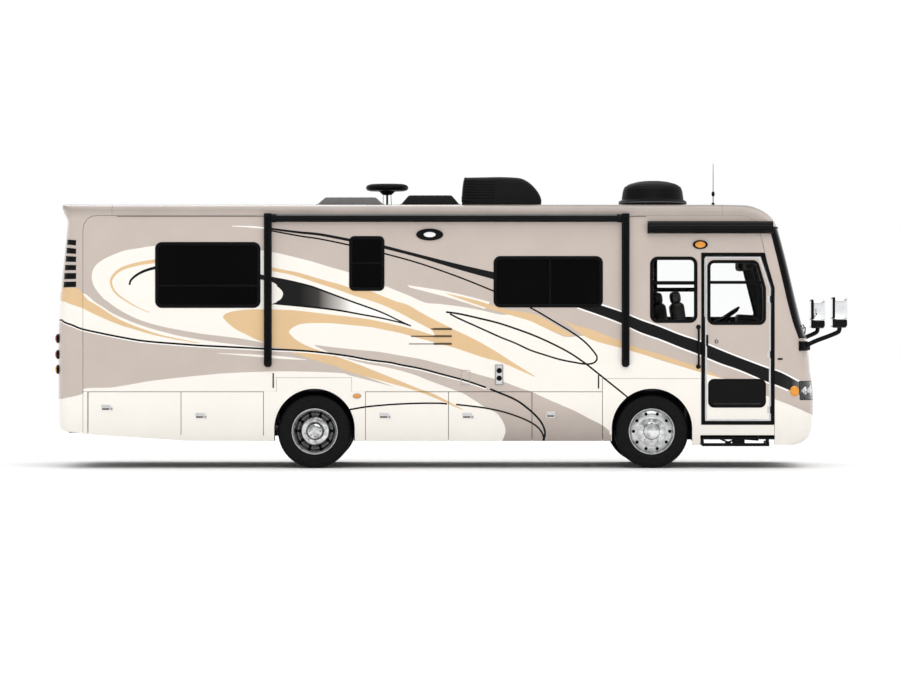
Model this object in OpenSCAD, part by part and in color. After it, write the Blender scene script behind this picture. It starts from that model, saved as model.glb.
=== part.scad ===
// Rear-engined coach motorhome: a hollow cabin of split body panels on a ladder frame,
// with steered front wheels, twin rear wheels, an entry door, storage bay doors and an engine hatch.
// Frame: +X forward, +Y to the left side, +Z up, ground at z = 0. Millimetres.

/* [Body] */
// Width over the side walls
body_w = 2438; // [2420:1:2450]
// Thickness of a side wall
wall_t = 45; // [38:1:50]
// Height of the top edge of the side walls
wall_top = 3290; // [3280:1:3295]
// Height of the crown of the roof
roof_crown = 3448; // [3440:1:3456]
// Thickness of the roof and end caps
cap_t = 40; // [32:1:44]
// Height of the seam between side wall and bay doors
seam_z = 998; // [990:1:1005]
// Height of the lower edge of the bay doors
skirt_z = 355; // [345:1:365]
// Height of the cabin floor
floor_z = 1100; // [1095:1:1110]

/* [Wheels] */
// Distance between the axles
wheelbase = 4387; // [4375:1:4400]
// Position of the rear axle along the body
rear_axle_x = -1755; // [-1760:1:-1750]
// Tyre outer radius
tyre_r = 478; // [474:1:480]
// Tyre section width
tyre_w = 262; // [250:1:266]
// Middle of a front tyre from the centreline
front_track_y = 1055; // [1050:1:1058]
// Middle of an outer rear tyre from the centreline
rear_outer_y = 1060; // [1056:1:1062]
// Middle of an inner rear tyre from the centreline
rear_inner_y = 748; // [744:1:750]
// Radius of a wheel arch
arch_r = 522; // [516:1:526]
// Kingpin from the centreline
kingpin_y = 880; // [876:1:884]

/* [Doors] */
// Clear gap between a moving panel and its neighbours
gap = 7; // [6:0.5:8]
// Thickness of a bay door
bay_door_t = 35; // [30:1:38]
// Radius of a hinge edge
hinge_r = 6; // [5:0.5:7]
// Width of the entry door's frame
door_frame_w = 39; // [36:1:42]

/* [Hidden] */
$fn = 48;
half_w = body_w / 2;
front_axle_x = rear_axle_x + wheelbase;
axle_z = tyre_r;
power = 5;                       // roundness of the body's corners in plan and section
glass_t = 6;

// ------------------------------------------------------------------ tables
// Bay doors on the right side: rear end x, front end x, lower rear z, lower front z
bay_doors = [[-4699, -3490, 442, 364], [-3490, -2418, 360, 355],
             [-1092, -13, 355, 355], [-13, 1072, 355, 355], [1072, 1989, 355, 355]];
left_bays = [2, 3, 4];           // the left side has the three doors between the axles
// Side windows: x of rear edge, x of front edge, lower z, upper z, corner radius
windows = [[-3828, -2457, 2084, 2942, 90], [-1306, -845, 2305, 3020, 70],
           [572, 1995, 2090, 2760, 90], [2606, 3224, 1889, 2753, 100]];
right_only = 3;                  // this window is only on the right side
// Driver's window on the left side, with a raked front edge: same columns, then height where the rake begins, rake at the top
driver_win = [2800, 4205, 1940, 2830, 90, 2050, 197];
// Entry door leaf opening (outer edge of the frame): rear x, front x, lower z, upper z
door_o = [3276, 4225, 569, 2799];
door_rake_z = 2343;              // where the front edge of the door begins to rake back
door_rake_x = 132;               // how far it rakes back at the top
// Window in the entry door
door_win = [3352, 4116, 1863, 2708, 90, 2343, 106];
// Front cap, from the lower edge to the roof seam:
// seam x, seam z, nose x, nose z, share of the depth where the side strip ends
front_rows = [[4228, 303, 4540, 303, .30], [4228, 330, 4645, 335, .28], [4228, 420, 4742, 420, .28],
  [4228, 560, 4776, 563, .28], [4228, 760, 4785, 760, .28], [4228, 885, 4784, 885, .28],
  [4228, 1135, 4762, 1135, .28], [4228, 1250, 4745, 1250, .30], [4228, 1540, 4717, 1540, .45],
  [4228, 1690, 4686, 1700, .70], [4228, 1900, 4624, 1902, .62], [4228, 2120, 4566, 2123, .55],
  [4228, 2345, 4508, 2360, .47], [4131, 2680, 4430, 2690, .50], [4047, 3030, 4336, 3040, .50],
  [4031, 3125, 4304, 3140, .50], [3992, 3212, 4254, 3235, .50], [3900, 3268, 4152, 3337, .50],
  [3790, 3290, 4012, 3408, .50], [3680, 3290, 3880, 3440, .50], [3552, 3290, 3552, 3448, .50]];
lamp_rows = [5, 6];              // rows between which the headlamps sit
screen_rows = [9, 15];           // rows between which the windscreen sits
// Rear cap, same columns
rear_rows = [[-4768, 462, -5035, 478, 0], [-4768, 482, -5095, 505, 0], [-4768, 545, -5125, 555, 0],
  [-4768, 640, -5138, 640, 0], [-4768, 900, -5138, 900, 0], [-4768, 1250, -5138, 1250, 0],
  [-4768, 1500, -5138, 1500, 0], [-4768, 1900, -5131, 1900, 0], [-4768, 2190, -5117, 2190, 0],
  [-4768, 2600, -5074, 2600, 0], [-4768, 2960, -5032, 2980, 0], [-4768, 3110, -5008, 3205, 0],
  [-4752, 3180, -5058, 3330, 0], [-4715, 3240, -5088, 3412, 0], [-4655, 3278, -5070, 3446, 0],
  [-4582, 3290, -4990, 3450, 0], [-4480, 3290, -4700, 3449, 0], [-4390, 3290, -4390, 3448, 0]];
hatch_rows = [3, 6];
hatch_share = 0.62;              // half width of the hatch as a share of the half width
// Roof air conditioners: x of rear end, x of front end, half width, height of the top
air_units = [[154, 1235, 360, 3836], [2257, 3165, 440, 3790]];
// Roof vents: x of rear end, x of front end, half width, height of the top
vents = [[-1769, -861, 330, 3563], [-660, 147, 330, 3590]];

// ------------------------------------------------------------------ helpers
module left_side() { mirror([0, 1, 0]) children(); }
// A plate in the X-Z plane from a 2-D outline; y0 is its outer face, t its thickness inwards (towards +Y)
module plate(y0, t) { translate([0, y0 + t, 0]) rotate([90, 0, 0]) linear_extrude(t) children(); }
module box(x0, x1, y0, y1, z0, z1) { translate([x0, y0, z0]) cube([x1 - x0, y1 - y0, z1 - z0]); }
module rrect(x0, x1, z0, z1, r) {
  translate([x0 + r, z0]) square([x1 - x0 - 2 * r, z1 - z0]);
  translate([x0, z0 + r]) square([x1 - x0, z1 - z0 - 2 * r]);
  for (x = [x0 + r, x1 - r], z = [z0 + r, z1 - r]) translate([x, z]) circle(r);
}
module win(w, in = 0) { rrect(w[0] + in, w[1] - in, w[2] + in, w[3] - in, w[4] - in); }
// A window with a raked front edge above the rake line
module raked_win(w, in = 0) {
  polygon(round_poly(inset_poly([[w[0], w[2]], [w[1], w[2]], [w[1], w[5]], [w[1] - w[6], w[3]], [w[0], w[3]]], in), w[4] - in));
}
function arc(cx, cz, r, a0, a1, n = 8) = [for (i = [0:n]) let (a = a0 + (a1 - a0) * i / n) [cx + r * cos(a), cz + r * sin(a)]];
// A convex outline, anticlockwise, moved inwards by d, and one with its corners rounded
function cross2(a, b) = a[0] * b[1] - a[1] * b[0];
function moved(a, b, d) = let (u = (b - a) / norm(b - a)) [a + [-u[1], u[0]] * d, u];
function meet(l, m) = l[0] + l[1] * cross2(m[0] - l[0], m[1]) / cross2(l[1], m[1]);
function inset_poly(p, d) = let (n = len(p)) [for (i = [0:n - 1]) meet(moved(p[(i + n - 1) % n], p[i], d), moved(p[i], p[(i + 1) % n], d))];
function round_poly(p, r) = let (n = len(p)) [for (i = [0:n - 1]) let (b = p[i],
    u = (p[(i + n - 1) % n] - b) / norm(p[(i + n - 1) % n] - b), v = (p[(i + 1) % n] - b) / norm(p[(i + 1) % n] - b),
    h = acos(u * v) / 2, c = b + (u + v) / norm(u + v) * r / sin(h), q = b + u * r / tan(h) - c, a0 = atan2(q[1], q[0]))
  each arc(c[0], c[1], r, a0, a0 + 180 - 2 * h)];

// Points of a rounded body section: lateral share and forward share at angle t
function lat(t) = sign(cos(t)) * pow(abs(cos(t)), 2 / power);
function fwd(t) = pow(max(sin(t), 0), 2 / power);
function angle_at(share) = asin(pow(share, power / 2));
// One row of a cap: s outwards offset of the skin
function inward(rows, i) = let (a = rows[max(i - 1, 0)], b = rows[min(i + 1, len(rows) - 1)],
    d = [b[2] - a[2], b[3] - a[3]], l = norm(d), k = rows[3][2] > 0 ? 1 : -1) [-k * d[1] / l, k * d[0] / l];
function mix(a, b, t) = a + (b - a) * t;
function row_at(rows, r) = let (i = min(floor(r), len(rows) - 2)) mix(rows[i], rows[i + 1], r - i);
function inward_at(rows, r) = let (i = min(floor(r), len(rows) - 2), v = mix(inward(rows, i), inward(rows, i + 1), r - i)) v / norm(v);
function skin_pt(rows, r, t, s) = let (q = row_at(rows, r), n = inward_at(rows, r),
    cx = q[2] - n[0] * s, cz = q[3] - n[1] * s)
  [q[0] + (cx - q[0]) * fwd(t), (half_w + s) * lat(t), q[1] + (cz - q[1]) * fwd(t)];
// Angles of the columns of a row: na across each side strip, nb between them
function cols(t1, na, nb) = concat([for (i = [0:na - 1]) t1 * i / na], [for (i = [0:nb]) t1 + (180 - 2 * t1) * i / nb],
    [for (i = [1:na]) 180 - t1 + t1 * i / na]);
// A closed sheet from a grid of outer points o and inner points q, [row][column]; cells in the holes [r0,r1,c0,c1] are left open
module sheet(o, q, holes = []) {
  nr = len(o); nc = len(o[0]); np = nr * nc;
  function open(r, c) = r < 0 || c < 0 || r > nr - 2 || c > nc - 2 || len([for (h = holes) if (r >= h[0] && r < h[1] && c >= h[2] && c < h[3]) 1]) > 0;
  function id(r, c) = r * nc + c;
  function quad(a, b, c, d) = [[a, b, c], [a, c, d]];
  pts = concat([for (r = o) each r], [for (r = q) each r]);
  faces = [for (r = [0:nr - 2], c = [0:nc - 2]) if (!open(r, c)) each concat(
      quad(id(r, c), id(r + 1, c), id(r + 1, c + 1), id(r, c + 1)),
      quad(np + id(r, c), np + id(r, c + 1), np + id(r + 1, c + 1), np + id(r + 1, c)),
      open(r - 1, c) ? quad(id(r, c), id(r, c + 1), np + id(r, c + 1), np + id(r, c)) : [],
      open(r + 1, c) ? quad(id(r + 1, c + 1), id(r + 1, c), np + id(r + 1, c), np + id(r + 1, c + 1)) : [],
      open(r, c - 1) ? quad(id(r + 1, c), id(r, c), np + id(r, c), np + id(r + 1, c)) : [],
      open(r, c + 1) ? quad(id(r, c + 1), id(r + 1, c + 1), np + id(r + 1, c + 1), np + id(r, c + 1)) : [])];
  polyhedron(points = pts, faces = faces, convexity = 6);
}

// ------------------------------------------------------------------ body shell
front_na = 4; front_nb = 14; lamp_cols = 5;
function front_grid(s) = [for (r = [0:len(front_rows) - 1]) [for (t = cols(angle_at(front_rows[r][4]), front_na, front_nb)) skin_pt(front_rows, r, t, s)]];
module front_cap() {
  color("tan") sheet(front_grid(0), front_grid(-cap_t),
    [[screen_rows[0], screen_rows[1], front_na, front_na + front_nb],
     [lamp_rows[0], lamp_rows[1], front_na, front_na + lamp_cols],
     [lamp_rows[0], lamp_rows[1], front_na + front_nb - lamp_cols, front_na + front_nb]]);
}
// A patch of the front skin between rows r0 and r1 and column angles; e keeps its edges clear of the hole
function patch(r0, r1, nr, c0, c1, nc, s) = [for (i = [0:nr]) let (r = mix(r0, r1, i / nr), t1 = angle_at(row_at(front_rows, r)[4]),
    step = (180 - 2 * t1) / front_nb) [for (j = [0:nc]) skin_pt(front_rows, r, t1 + step * mix(c0, c1, j / nc), s)]];
module windscreen() {
  color([0.1, 0.12, 0.13, 0.6]) sheet(patch(9.03, 14.9, 12, 0.12, front_nb - 0.12, 24, -4), patch(9.03, 14.9, 12, 0.12, front_nb - 0.12, 24, -4 - glass_t - 4));
}
module headlamps() {
  color("gainsboro") for (c = [0, front_nb - lamp_cols])
    sheet(patch(5.02, 5.98, 3, c + 0.06, c + lamp_cols - 0.06, 8, 4), patch(5.02, 5.98, 3, c + 0.06, c + lamp_cols - 0.06, 8, -36));
}
rear_na = 8; rear_nb = 6;
hatch_t = acos(pow(hatch_share, power / 2));
function rear_grid(s) = [for (r = [0:len(rear_rows) - 1]) [for (t = cols(hatch_t, rear_na, rear_nb)) let (p = skin_pt(rear_rows, r, t, s), l = lat(t))
    [p[0], -l * (half_w + s * max(0, (abs(l) - hatch_share) / (1 - hatch_share))), p[2]]]];
module rear_cap() {
  // open for the hatch, and notched below it for the towing receiver
  color("tan") sheet(rear_grid(0), rear_grid(-cap_t), [[hatch_rows[0], hatch_rows[1], rear_na, rear_na + rear_nb], [0, 2, rear_na + 2, rear_na + 4]]);
}
function roof_line(s) = [for (i = [0:32]) let (t = 180 * i / 32) [(half_w + s) * lat(t), wall_top + (roof_crown + s - wall_top) * fwd(t)]];
module roof() {
  color("tan") translate([-4387, 0, 0]) rotate([90, 0, 90]) linear_extrude(3549 + 4387)
    polygon(concat(roof_line(0), [for (i = [32:-1:0]) roof_line(-cap_t)[i]]));
}
// Outline of a side wall with the arch step over the rear wheel; the right one is cut for the entry door
function wall_points(cut) = concat(
  [[-4765, seam_z], [-2252, seam_z], [-2252, 1180], [-1271, 1180], [-1271, seam_z], [1986, seam_z], [1986, 1167]],
  cut ? [[3273, 1167], [3273, door_o[3] + 3], [4098, door_o[3] + 3]] : [[4225, 1167], [4225, 2345], [4128, 2680]],
  [[4044, 3030]], [[4028, 3125]], [[3989, 3212]], [[3897, 3268]], [[3787, wall_top - 0.5]],
  [for (i = [15:-1:11]) [rear_rows[i][0] + 3, rear_rows[i][1] - 2.5]]);
module wall(cut) {
  color("tan") difference() {
    plate(-half_w, wall_t) polygon(wall_points(cut));
    for (i = [0:3]) if (cut || i != right_only) plate(-half_w - 5, wall_t + 10) win(windows[i], 12);
    if (!cut) plate(-half_w - 5, wall_t + 10) raked_win(driver_win, 12);
  }
}
module right_wall() wall(true);
module left_wall() left_side() wall(false);
// Fixed lower panels: rear strip or panel, the two arch panels, and the sill under the entry door
module arch_cut(x) { translate([x, axle_z + 34]) circle(arch_r, $fn = 96); translate([x - arch_r, 0]) square([2 * arch_r, axle_z + 34]); }
module skirt(right) {
  t = bay_door_t;
  plate(-half_w, t) difference() {
    union() {
      translate([-2415, skirt_z]) square([1320, seam_z - skirt_z]);
      translate([-2249, seam_z - 1]) square([975, 1177 - seam_z + 1]);
    }
    arch_cut(rear_axle_x);
  }
  plate(-half_w, t) difference() {
    union() {
      translate([1992, skirt_z]) square([1281, 1164 - skirt_z]);
      polygon([[2900, 303], [3262, 303], [3262, 430], [2900, 430]]);
      if (right) polygon([[3200, 430], [4225, 430], [4225, 566], [3200, 566]]);
      else polygon([[3200, 303], [4225, 303], [4225, 1164], [3200, 1164]]);
    }
    arch_cut(front_axle_x);
  }
  if (right) plate(-half_w, t) polygon([[-4765, 440], [-4706, 440], [-4706, seam_z - 3], [-4765, seam_z - 3]]);
  else plate(-half_w, t) polygon([[-4765, 440], [-3490, 360], [-2421, 355], [-2421, seam_z - 3], [-4765, seam_z - 3]]);
}
module skirts() { color("antiquewhite") { skirt(true); left_side() skirt(false); } }
module window_frames() {
  color([0.05, 0.05, 0.05]) {
    for (i = [0:3]) let (w = windows[i]) {
      one_frame() { win(w); win(w, 45); win(w, 13); }
      if (i != right_only) left_side() one_frame() { win(w); win(w, 45); win(w, 13); }
    }
    left_side() one_frame() { raked_win(driver_win); raked_win(driver_win, 45); raked_win(driver_win, 13); }
  }
}
// A frame has an outer flange on the wall face and a sleeve through the wall
module one_frame() {
  difference() {
    union() { plate(-half_w - 8, 8) children(0); plate(-half_w - 1, wall_t - 4) children(2); }
    plate(-half_w - 20, wall_t + 30) children(1);
  }
}
module window_glass() {
  color([0.05, 0.05, 0.06, 0.8]) {
    for (i = [0:3]) let (w = windows[i]) { plate(-half_w + 10, glass_t) win(w, 46); if (i != right_only) left_side() plate(-half_w + 10, glass_t) win(w, 46); }
    left_side() plate(-half_w + 10, glass_t) raked_win(driver_win, 46);
  }
}

// ------------------------------------------------------------------ entry
module door_outline(in) {
  polygon([[door_o[0] + in, door_o[2] + in], [door_o[1] - in, door_o[2] + in], [door_o[1] - in, door_rake_z],
           [door_o[1] - door_rake_x - in, door_o[3] - in], [door_o[0] + in, door_o[3] - in]]);
}
module entry_door_frame() {
  color([0.05, 0.05, 0.05]) difference() {
    plate(-half_w - 6, wall_t + 6) door_outline(0);
    plate(-half_w - 10, wall_t + 20) door_outline(door_frame_w);
  }
}
door_in = door_frame_w + gap;
// The door's hinges stand proud of its frame: axis x and y, heights of their middles
door_hinge = [door_o[1] - door_frame_w - gap / 2, -half_w - 6 - hinge_r];
door_hinge_z = [760, 1480, 2200];
module entry_door() {
  color("tan") {
    difference() {
      plate(-half_w + 2, wall_t - 6) door_outline(door_in);
      plate(-half_w - 10, wall_t + 20) raked_win(door_win, 12);
    }
    for (z = door_hinge_z) {
      translate([door_hinge[0], door_hinge[1], z - 45]) cylinder(r = hinge_r, h = 90);
      box(door_hinge[0] - 9, door_hinge[0], door_hinge[1], -half_w + 2.5, z - 45, z + 45);
      box(door_hinge[0] - 52, door_hinge[0] - 8, -half_w - 2, -half_w + 2.5, z - 45, z + 45);
    }
  }
}
module entry_door_glass() {
  color([0.1, 0.1, 0.1, 0.5]) plate(-half_w + 12, glass_t) raked_win(door_win, 13);
}
// Step well: a tray with two treads behind the door
module stepwell() {
  color("dimgray") difference() {
    union() {
      box(3290, 4215, -1165, -560, 560, 578);
      box(3290, 4215, -860, -845, 578, 800);
      box(3290, 4215, -860, -560, 800, 818);
      box(3290, 4215, -575, -560, 560, floor_z - 85);
      for (x = [3290, 4203]) box(x, x + 12, -1165, -560, 560, floor_z - 85);
    }
    box(3302, 4203, -845, -575, 570, 795);
  }
}
// Sliding step under the sill: tread, two side arms, and an open back of posts under a rail
// Posts: rear x, front x
step_posts = [[3285, 3311], [3700, 3850], [4134, 4160]];
module entry_step() {
  color("silver") {
    box(3285, 4160, -1212, -930, 292, 318);
    for (x = [3285, 4134]) box(x, x + 26, -1212, -640, 292, 345);
    for (x = step_posts) box(x[0], x[1], -960, -930, 292, 400);
    box(3285, 4160, -960, -930, 372, 400);
  }
}

// ------------------------------------------------------------------ bay doors and hatch
module bay_door(i) {
  d = bay_doors[i]; g = gap / 2; y0 = -half_w;
  hx = d[1] - g - hinge_r;
  color("antiquewhite") {
    plate(y0, bay_door_t) polygon([[d[0] + g, d[2]], [hx, d[3]], [hx, seam_z - gap], [d[0] + g, seam_z - gap]]);
    box(hx - 1, hx + hinge_r, y0 + hinge_r, y0 + bay_door_t, d[3], seam_z - gap);
    translate([hx, y0 + hinge_r, d[3]]) cylinder(r = hinge_r, h = seam_z - gap - d[3]);
  }
}
// Engine hatch, hinged along its top edge
hatch_top = rear_rows[hatch_rows[1]][3] - gap;
module engine_hatch() {
  w = hatch_share * half_w - gap; x0 = -5136; b = rear_rows[hatch_rows[0]][3] + gap;
  color("tan") {
    difference() {
      box(x0, x0 + 34, -w, w, b, hatch_top - hinge_r);
      box(x0 - 1, x0 + 12, -w + 90, w - 90, 760, 1180);
    }
    box(x0 + hinge_r, x0 + 34, -w, w, hatch_top - hinge_r - 1, hatch_top);
    translate([x0 + hinge_r, -w, hatch_top - hinge_r]) rotate([-90, 0, 0]) cylinder(r = hinge_r, h = 2 * w);
  }
}

// ------------------------------------------------------------------ structure below the floor
module chassis_frame() {
  color([0.12, 0.12, 0.12]) difference() {
    union() {
      for (s = [-1, 1]) box(-4700, 4330, s * 390 - 40, s * 390 + 40, 770, 1010);
      for (x = [-4700, -2750, -2300, -1300, -500, 350, 1150, 2050, 3150, 4230]) box(x, x + 100, -349.5, 349.5, 800, 950);
      // towing hitch: drop legs, cross tube and square receiver
      for (s = [-1, 1]) box(-4700, -4620, s * 390 - 40, s * 390 + 40, 430, 769.5);
      box(-4700, -4620, -430, 430, 430, 506);
      box(-5080, -4619, -38, 38, 430, 506);
    }
    box(-5081, -4690, -25.5, 25.5, 442.5, 493.5);
    translate([-5015, 60, 468]) rotate([90, 0, 0]) cylinder(r = 8.25, h = 120);
  }
}
module floor() {
  color("gray") difference() {
    union() {
      box(-3300, 4215, -1170, 1170, floor_z - 80, floor_z);
      box(-3380, -3300, -1170, 1170, floor_z - 80, 1480);
      box(-4750, -3300, -1170, 1170, 1400, 1480);
    }
    box(3285, 4220, -1171, -555, floor_z - 90, floor_z + 5);
  }
}
// Storage bays between the axles: tray, partitions and inner wall on each side
module one_bay_row() {
  difference() {
    box(-1110, 2005, -1172, -470, skirt_z + 15, floor_z - 84);
    for (i = left_bays) box(max(bay_doors[i][0] + 14, -1100), min(bay_doors[i][1] - 14, 1995), -1185, -482, skirt_z + 30, floor_z);
  }
}
module storage_bays() { color("lightgray") { one_bay_row(); left_side() one_bay_row(); } }
module wheel_wells() {
  color([0.1, 0.1, 0.1]) for (x = [rear_axle_x, front_axle_x], s = [0, 1]) mirror([0, s, 0]) {
    for (e = [-1, 1]) box(x + e * 578 - 4, x + e * 578 + 4, -1172, -560, 380, floor_z - 84);
    box(x - 582, x + 582, -1172, -560, floor_z - 96, floor_z - 84);
  }
}
module front_axle() {
  color([0.15, 0.15, 0.15]) {
    difference() {
      union() {
        box(front_axle_x - 55, front_axle_x + 55, -kingpin_y + 20, kingpin_y - 20, axle_z - 70, axle_z + 40);
        for (s = [-1, 1]) translate([front_axle_x, s * kingpin_y, axle_z - 90]) cylinder(r = 58, h = 180);
      }
      for (s = [-1, 1]) translate([front_axle_x, s * kingpin_y, axle_z - 100]) cylinder(r = 25.05, h = 200);
    }
    for (s = [-1, 1]) box(front_axle_x - 110, front_axle_x + 110, s * 500 - 60, s * 500 + 60, axle_z + 40, axle_z + 62);
  }
}
module rear_axle() {
  color([0.15, 0.15, 0.15]) translate([rear_axle_x, 0, axle_z]) {
    rotate([90, 0, 0]) cylinder(r = 75, h = 1160, center = true);
    rotate([90, 0, 0]) cylinder(r = 205, h = 190, center = true);
    rotate([90, 0, 0]) cylinder(r = 130, h = 420, center = true);
    rotate([0, -90, 0]) cylinder(r = 90, h = 270);
    for (s = [-1, 1]) {
      translate([0, s * 579, 0]) rotate([-s * 90, 0, 0]) cylinder(r = 45, h = 470);
      translate([-110, s * 500 - 60, 40]) cube([220, 120, 45]);
    }
  }
}
module air_springs() {
  color([0.08, 0.08, 0.08]) for (p = [[front_axle_x, axle_z + 62], [rear_axle_x, axle_z + 85]], s = [-1, 1])
    translate([p[0], s * 500, p[1]]) { cylinder(r = 88, h = 770 - p[1]); translate([0, 0, 55]) cylinder(r = 98, h = 50); translate([0, 0, 120]) cylinder(r = 98, h = 50); }
}
module engine() {
  color([0.2, 0.2, 0.2]) { box(-4580, -3480, -340, 340, 470, 1370); box(-3500, -2790, -230, 230, 480, 770); }
}
module drive_shaft() {
  color([0.25, 0.25, 0.25]) translate([-2790, 0, axle_z + 40]) rotate([0, 90, 0]) { cylinder(r = 85, h = 30); cylinder(r = 52, h = rear_axle_x - 271 + 2790); }
}
module fuel_tank() { color("silver") rrect_bar(900, 1800, 330, 430, 755, 60); }
module rrect_bar(x0, x1, hw, z0, z1, r) { translate([x0, 0, 0]) rotate([90, 0, 90]) linear_extrude(x1 - x0) rrect(-hw, hw, z0, z1, r); }

// ------------------------------------------------------------------ cab
wheel_c = [3725, 600, 1980]; wheel_tilt = 34;
module dashboard() {
  color([0.2, 0.2, 0.2]) {
    difference() {
      union() {
        box(4120, 4500, -1060, 1060, floor_z, 1640);
        box(4000, 4520, -1060, 1060, 1560, 1690);
        translate([0, 850, 0]) rotate([90, 0, 0]) linear_extrude(500) polygon([[3880, 1700], [4040, 1640], [4250, 1640], [4250, 1700], [4140, 1950], [4080, 2005], [3900, 2015], [3880, 1990]]);
        translate(wheel_c) rotate([0, -wheel_tilt, 0]) translate([0, 0, -960]) cylinder(r = 45, h = 880);
      }
      translate(wheel_c) rotate([0, -wheel_tilt, 0]) translate([0, 0, -200]) cylinder(r = 16.05, h = 200);
    }
  }
}
module steering_wheel() {
  color([0.08, 0.08, 0.08]) translate(wheel_c) rotate([0, -wheel_tilt, 0]) {
    rotate_extrude($fn = 64) translate([222, 0]) circle(16);
    translate([0, 0, -72]) cylinder(r = 62, h = 60);
    for (a = [0, 90, 180, 270]) rotate(a) translate([40, -16, -36]) cube([176, 32, 14]);
    for (a = [0, 90, 180, 270]) rotate(a) translate([205, -16, -36]) cube([14, 32, 32]);
    translate([0, 0, -195]) cylinder(r = 16, h = 130);
  }
}
// Captain's chairs: pedestal, cushion, back and headrest
module one_seat(x) {
  translate([x, 0, 0]) {
    box(60, 320, -190, 190, floor_z, 1430);
    box(60, 600, -260, 260, 1430, 1590);
    translate([130, 0, 1560]) rotate([0, -8, 0]) box(-115, 42, -255, 255, 0, 605);
    translate([130, 0, 1560]) rotate([0, -8, 0]) box(-115, 38, -185, 185, 600, 770);
  }
}
module cab_seats() { color("saddlebrown") { translate([0, -600, 0]) one_seat(2975); translate([0, 600, 0]) one_seat(2810); } }

// ------------------------------------------------------------------ outside fittings
module tail_lamps() {
  color("darkred") for (s = [-1, 1], z = [1687, 1479, 1284]) translate([-5150, s * 1010, z]) rotate([0, 90, 0]) cylinder(r = 61, h = 34);
}
// Mirrors: base block, arm and head on each side
module mirrors() {
  color([0.1, 0.1, 0.1]) for (s = [0, 1]) mirror([0, s, 0]) {
    translate([4632, -1160, 1535]) rotate([0, 0, -41]) translate([-30, -75, 0]) cube([60, 150, 110]);
    hull() { translate([4655, -1170, 1605]) sphere(20, $fn = 16); translate([5055, -1335, 1790]) sphere(18, $fn = 16); }
    translate([5052, -1335, 1785]) cylinder(r = 17, h = 45);
    hull() for (x = [4990, 5115], y = [-1430, -1240], z = [1860, 2190]) translate([x, y, z]) sphere(35, $fn = 20);
  }
}
// Patio awning: roller and two arms; and the flat case over the entry door
module awnings() {
  color([0.05, 0.05, 0.05]) {
    for (x = [-2360, 2288]) { box(x - 52, x + 52, -half_w - 62, -half_w - 0.5, 1345, 3315); translate([x, -half_w - 31, 1345]) rotate([90, 0, 0]) cylinder(r = 30, h = 61, center = true); }
    translate([-2307.5, -half_w - 58, 3250]) rotate([0, 90, 0]) cylinder(r = 55, h = 4543);
    rrect_case();
  }
}
module rrect_case() {
  translate([2568, -half_w - 62, 3131]) rotate([90, 0, 90]) linear_extrude(1210) difference() { circle(84, $fn = 64); translate([61.5, -100]) square([100, 200]); }
  translate([3700, -half_w - 62, 3131]) rotate([90, 0, 90]) linear_extrude(500) difference() { circle(84, $fn = 64); translate([61.5, -100]) square([100, 200]); }
}
module roof_air_conditioners() {
  color([0.08, 0.08, 0.08]) {
    u = air_units[0]; z0 = roof_crown + 1;
    translate([0, u[2], 0]) rotate([90, 0, 0]) linear_extrude(2 * u[2]) polygon(concat([[u[0] + 20, z0], [u[0], z0 + 40], [u[0] + 45, u[3] - 12], [u[0] + 460, u[3]]],
      [for (p = arc(u[1] - 330, z0 + 20, 1, 75, 0)) [u[1] - 330 + (p[0] - u[1] + 330) * 330, z0 + 20 + (p[1] - z0 - 20) * (u[3] - z0 - 24)]], [[u[1] - 30, z0]]));
    v = air_units[1]; translate([(v[0] + v[1]) / 2, 0, z0]) rotate_extrude($fn = 96)
      polygon([[0, 0], [430, 0], [454, 40], [454, 62], [418, 80], [400, 180], [372, 245], [300, 300], [180, 330], [0, v[3] - z0]]);
  }
}
module roof_vents() {
  color([0.1, 0.1, 0.1]) for (v = vents) hull() {
    box(v[0], v[1], -v[2], v[2], roof_crown + 1, roof_crown + 20);
    box(v[0] + 130, v[1] - 130, -v[2] + 90, v[2] - 90, v[3] - 12, v[3]);
  }
}
module roof_antennas() {
  color([0.1, 0.1, 0.1]) {
    translate([-841, 470, roof_crown + 1]) {
      cylinder(r = 120, h = 25); cylinder(r = 42, h = 200);
      translate([0, 0, 175]) cylinder(r1 = 70, r2 = 110, h = 48);
      translate([0, 0, 222]) rotate_extrude($fn = 64) polygon([[0, 0], [240, 4], [282, 24], [287, 50], [276, 78], [230, 96], [0, 100]]);
    }
    translate([3480, -520, roof_crown + 0.5]) { cylinder(r = 22, h = 30); cylinder(r = 6, h = 150); translate([0, 0, 118]) cylinder(r = 22, h = 60); cylinder(r = 5, h = 551); }
  }
}

// ------------------------------------------------------------------ wheels
module spin_y(y) { translate([0, y, 0]) rotate([90, 0, 0]) children(); }
// Tyre section, symmetrical about its middle: radius, half width
tyre_half = [[287, 99], [303, 99], [308, 118], [345, 128], [400, 131], [440, 127], [464, 116], [475, 103], [478, 84]];
module tyre_ring(cy) {
  k = tyre_w / 262;
  spin_y(cy) rotate_extrude($fn = 96) polygon(concat([for (p = tyre_half) [p[0] * (p[0] > 320 ? tyre_r / 478 : 1), p[1] * k]],
    [for (i = [len(tyre_half) - 1:-1:0]) let (p = tyre_half[i]) [p[0] * (p[0] > 320 ? tyre_r / 478 : 1), -p[1] * k]]));
}
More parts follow.
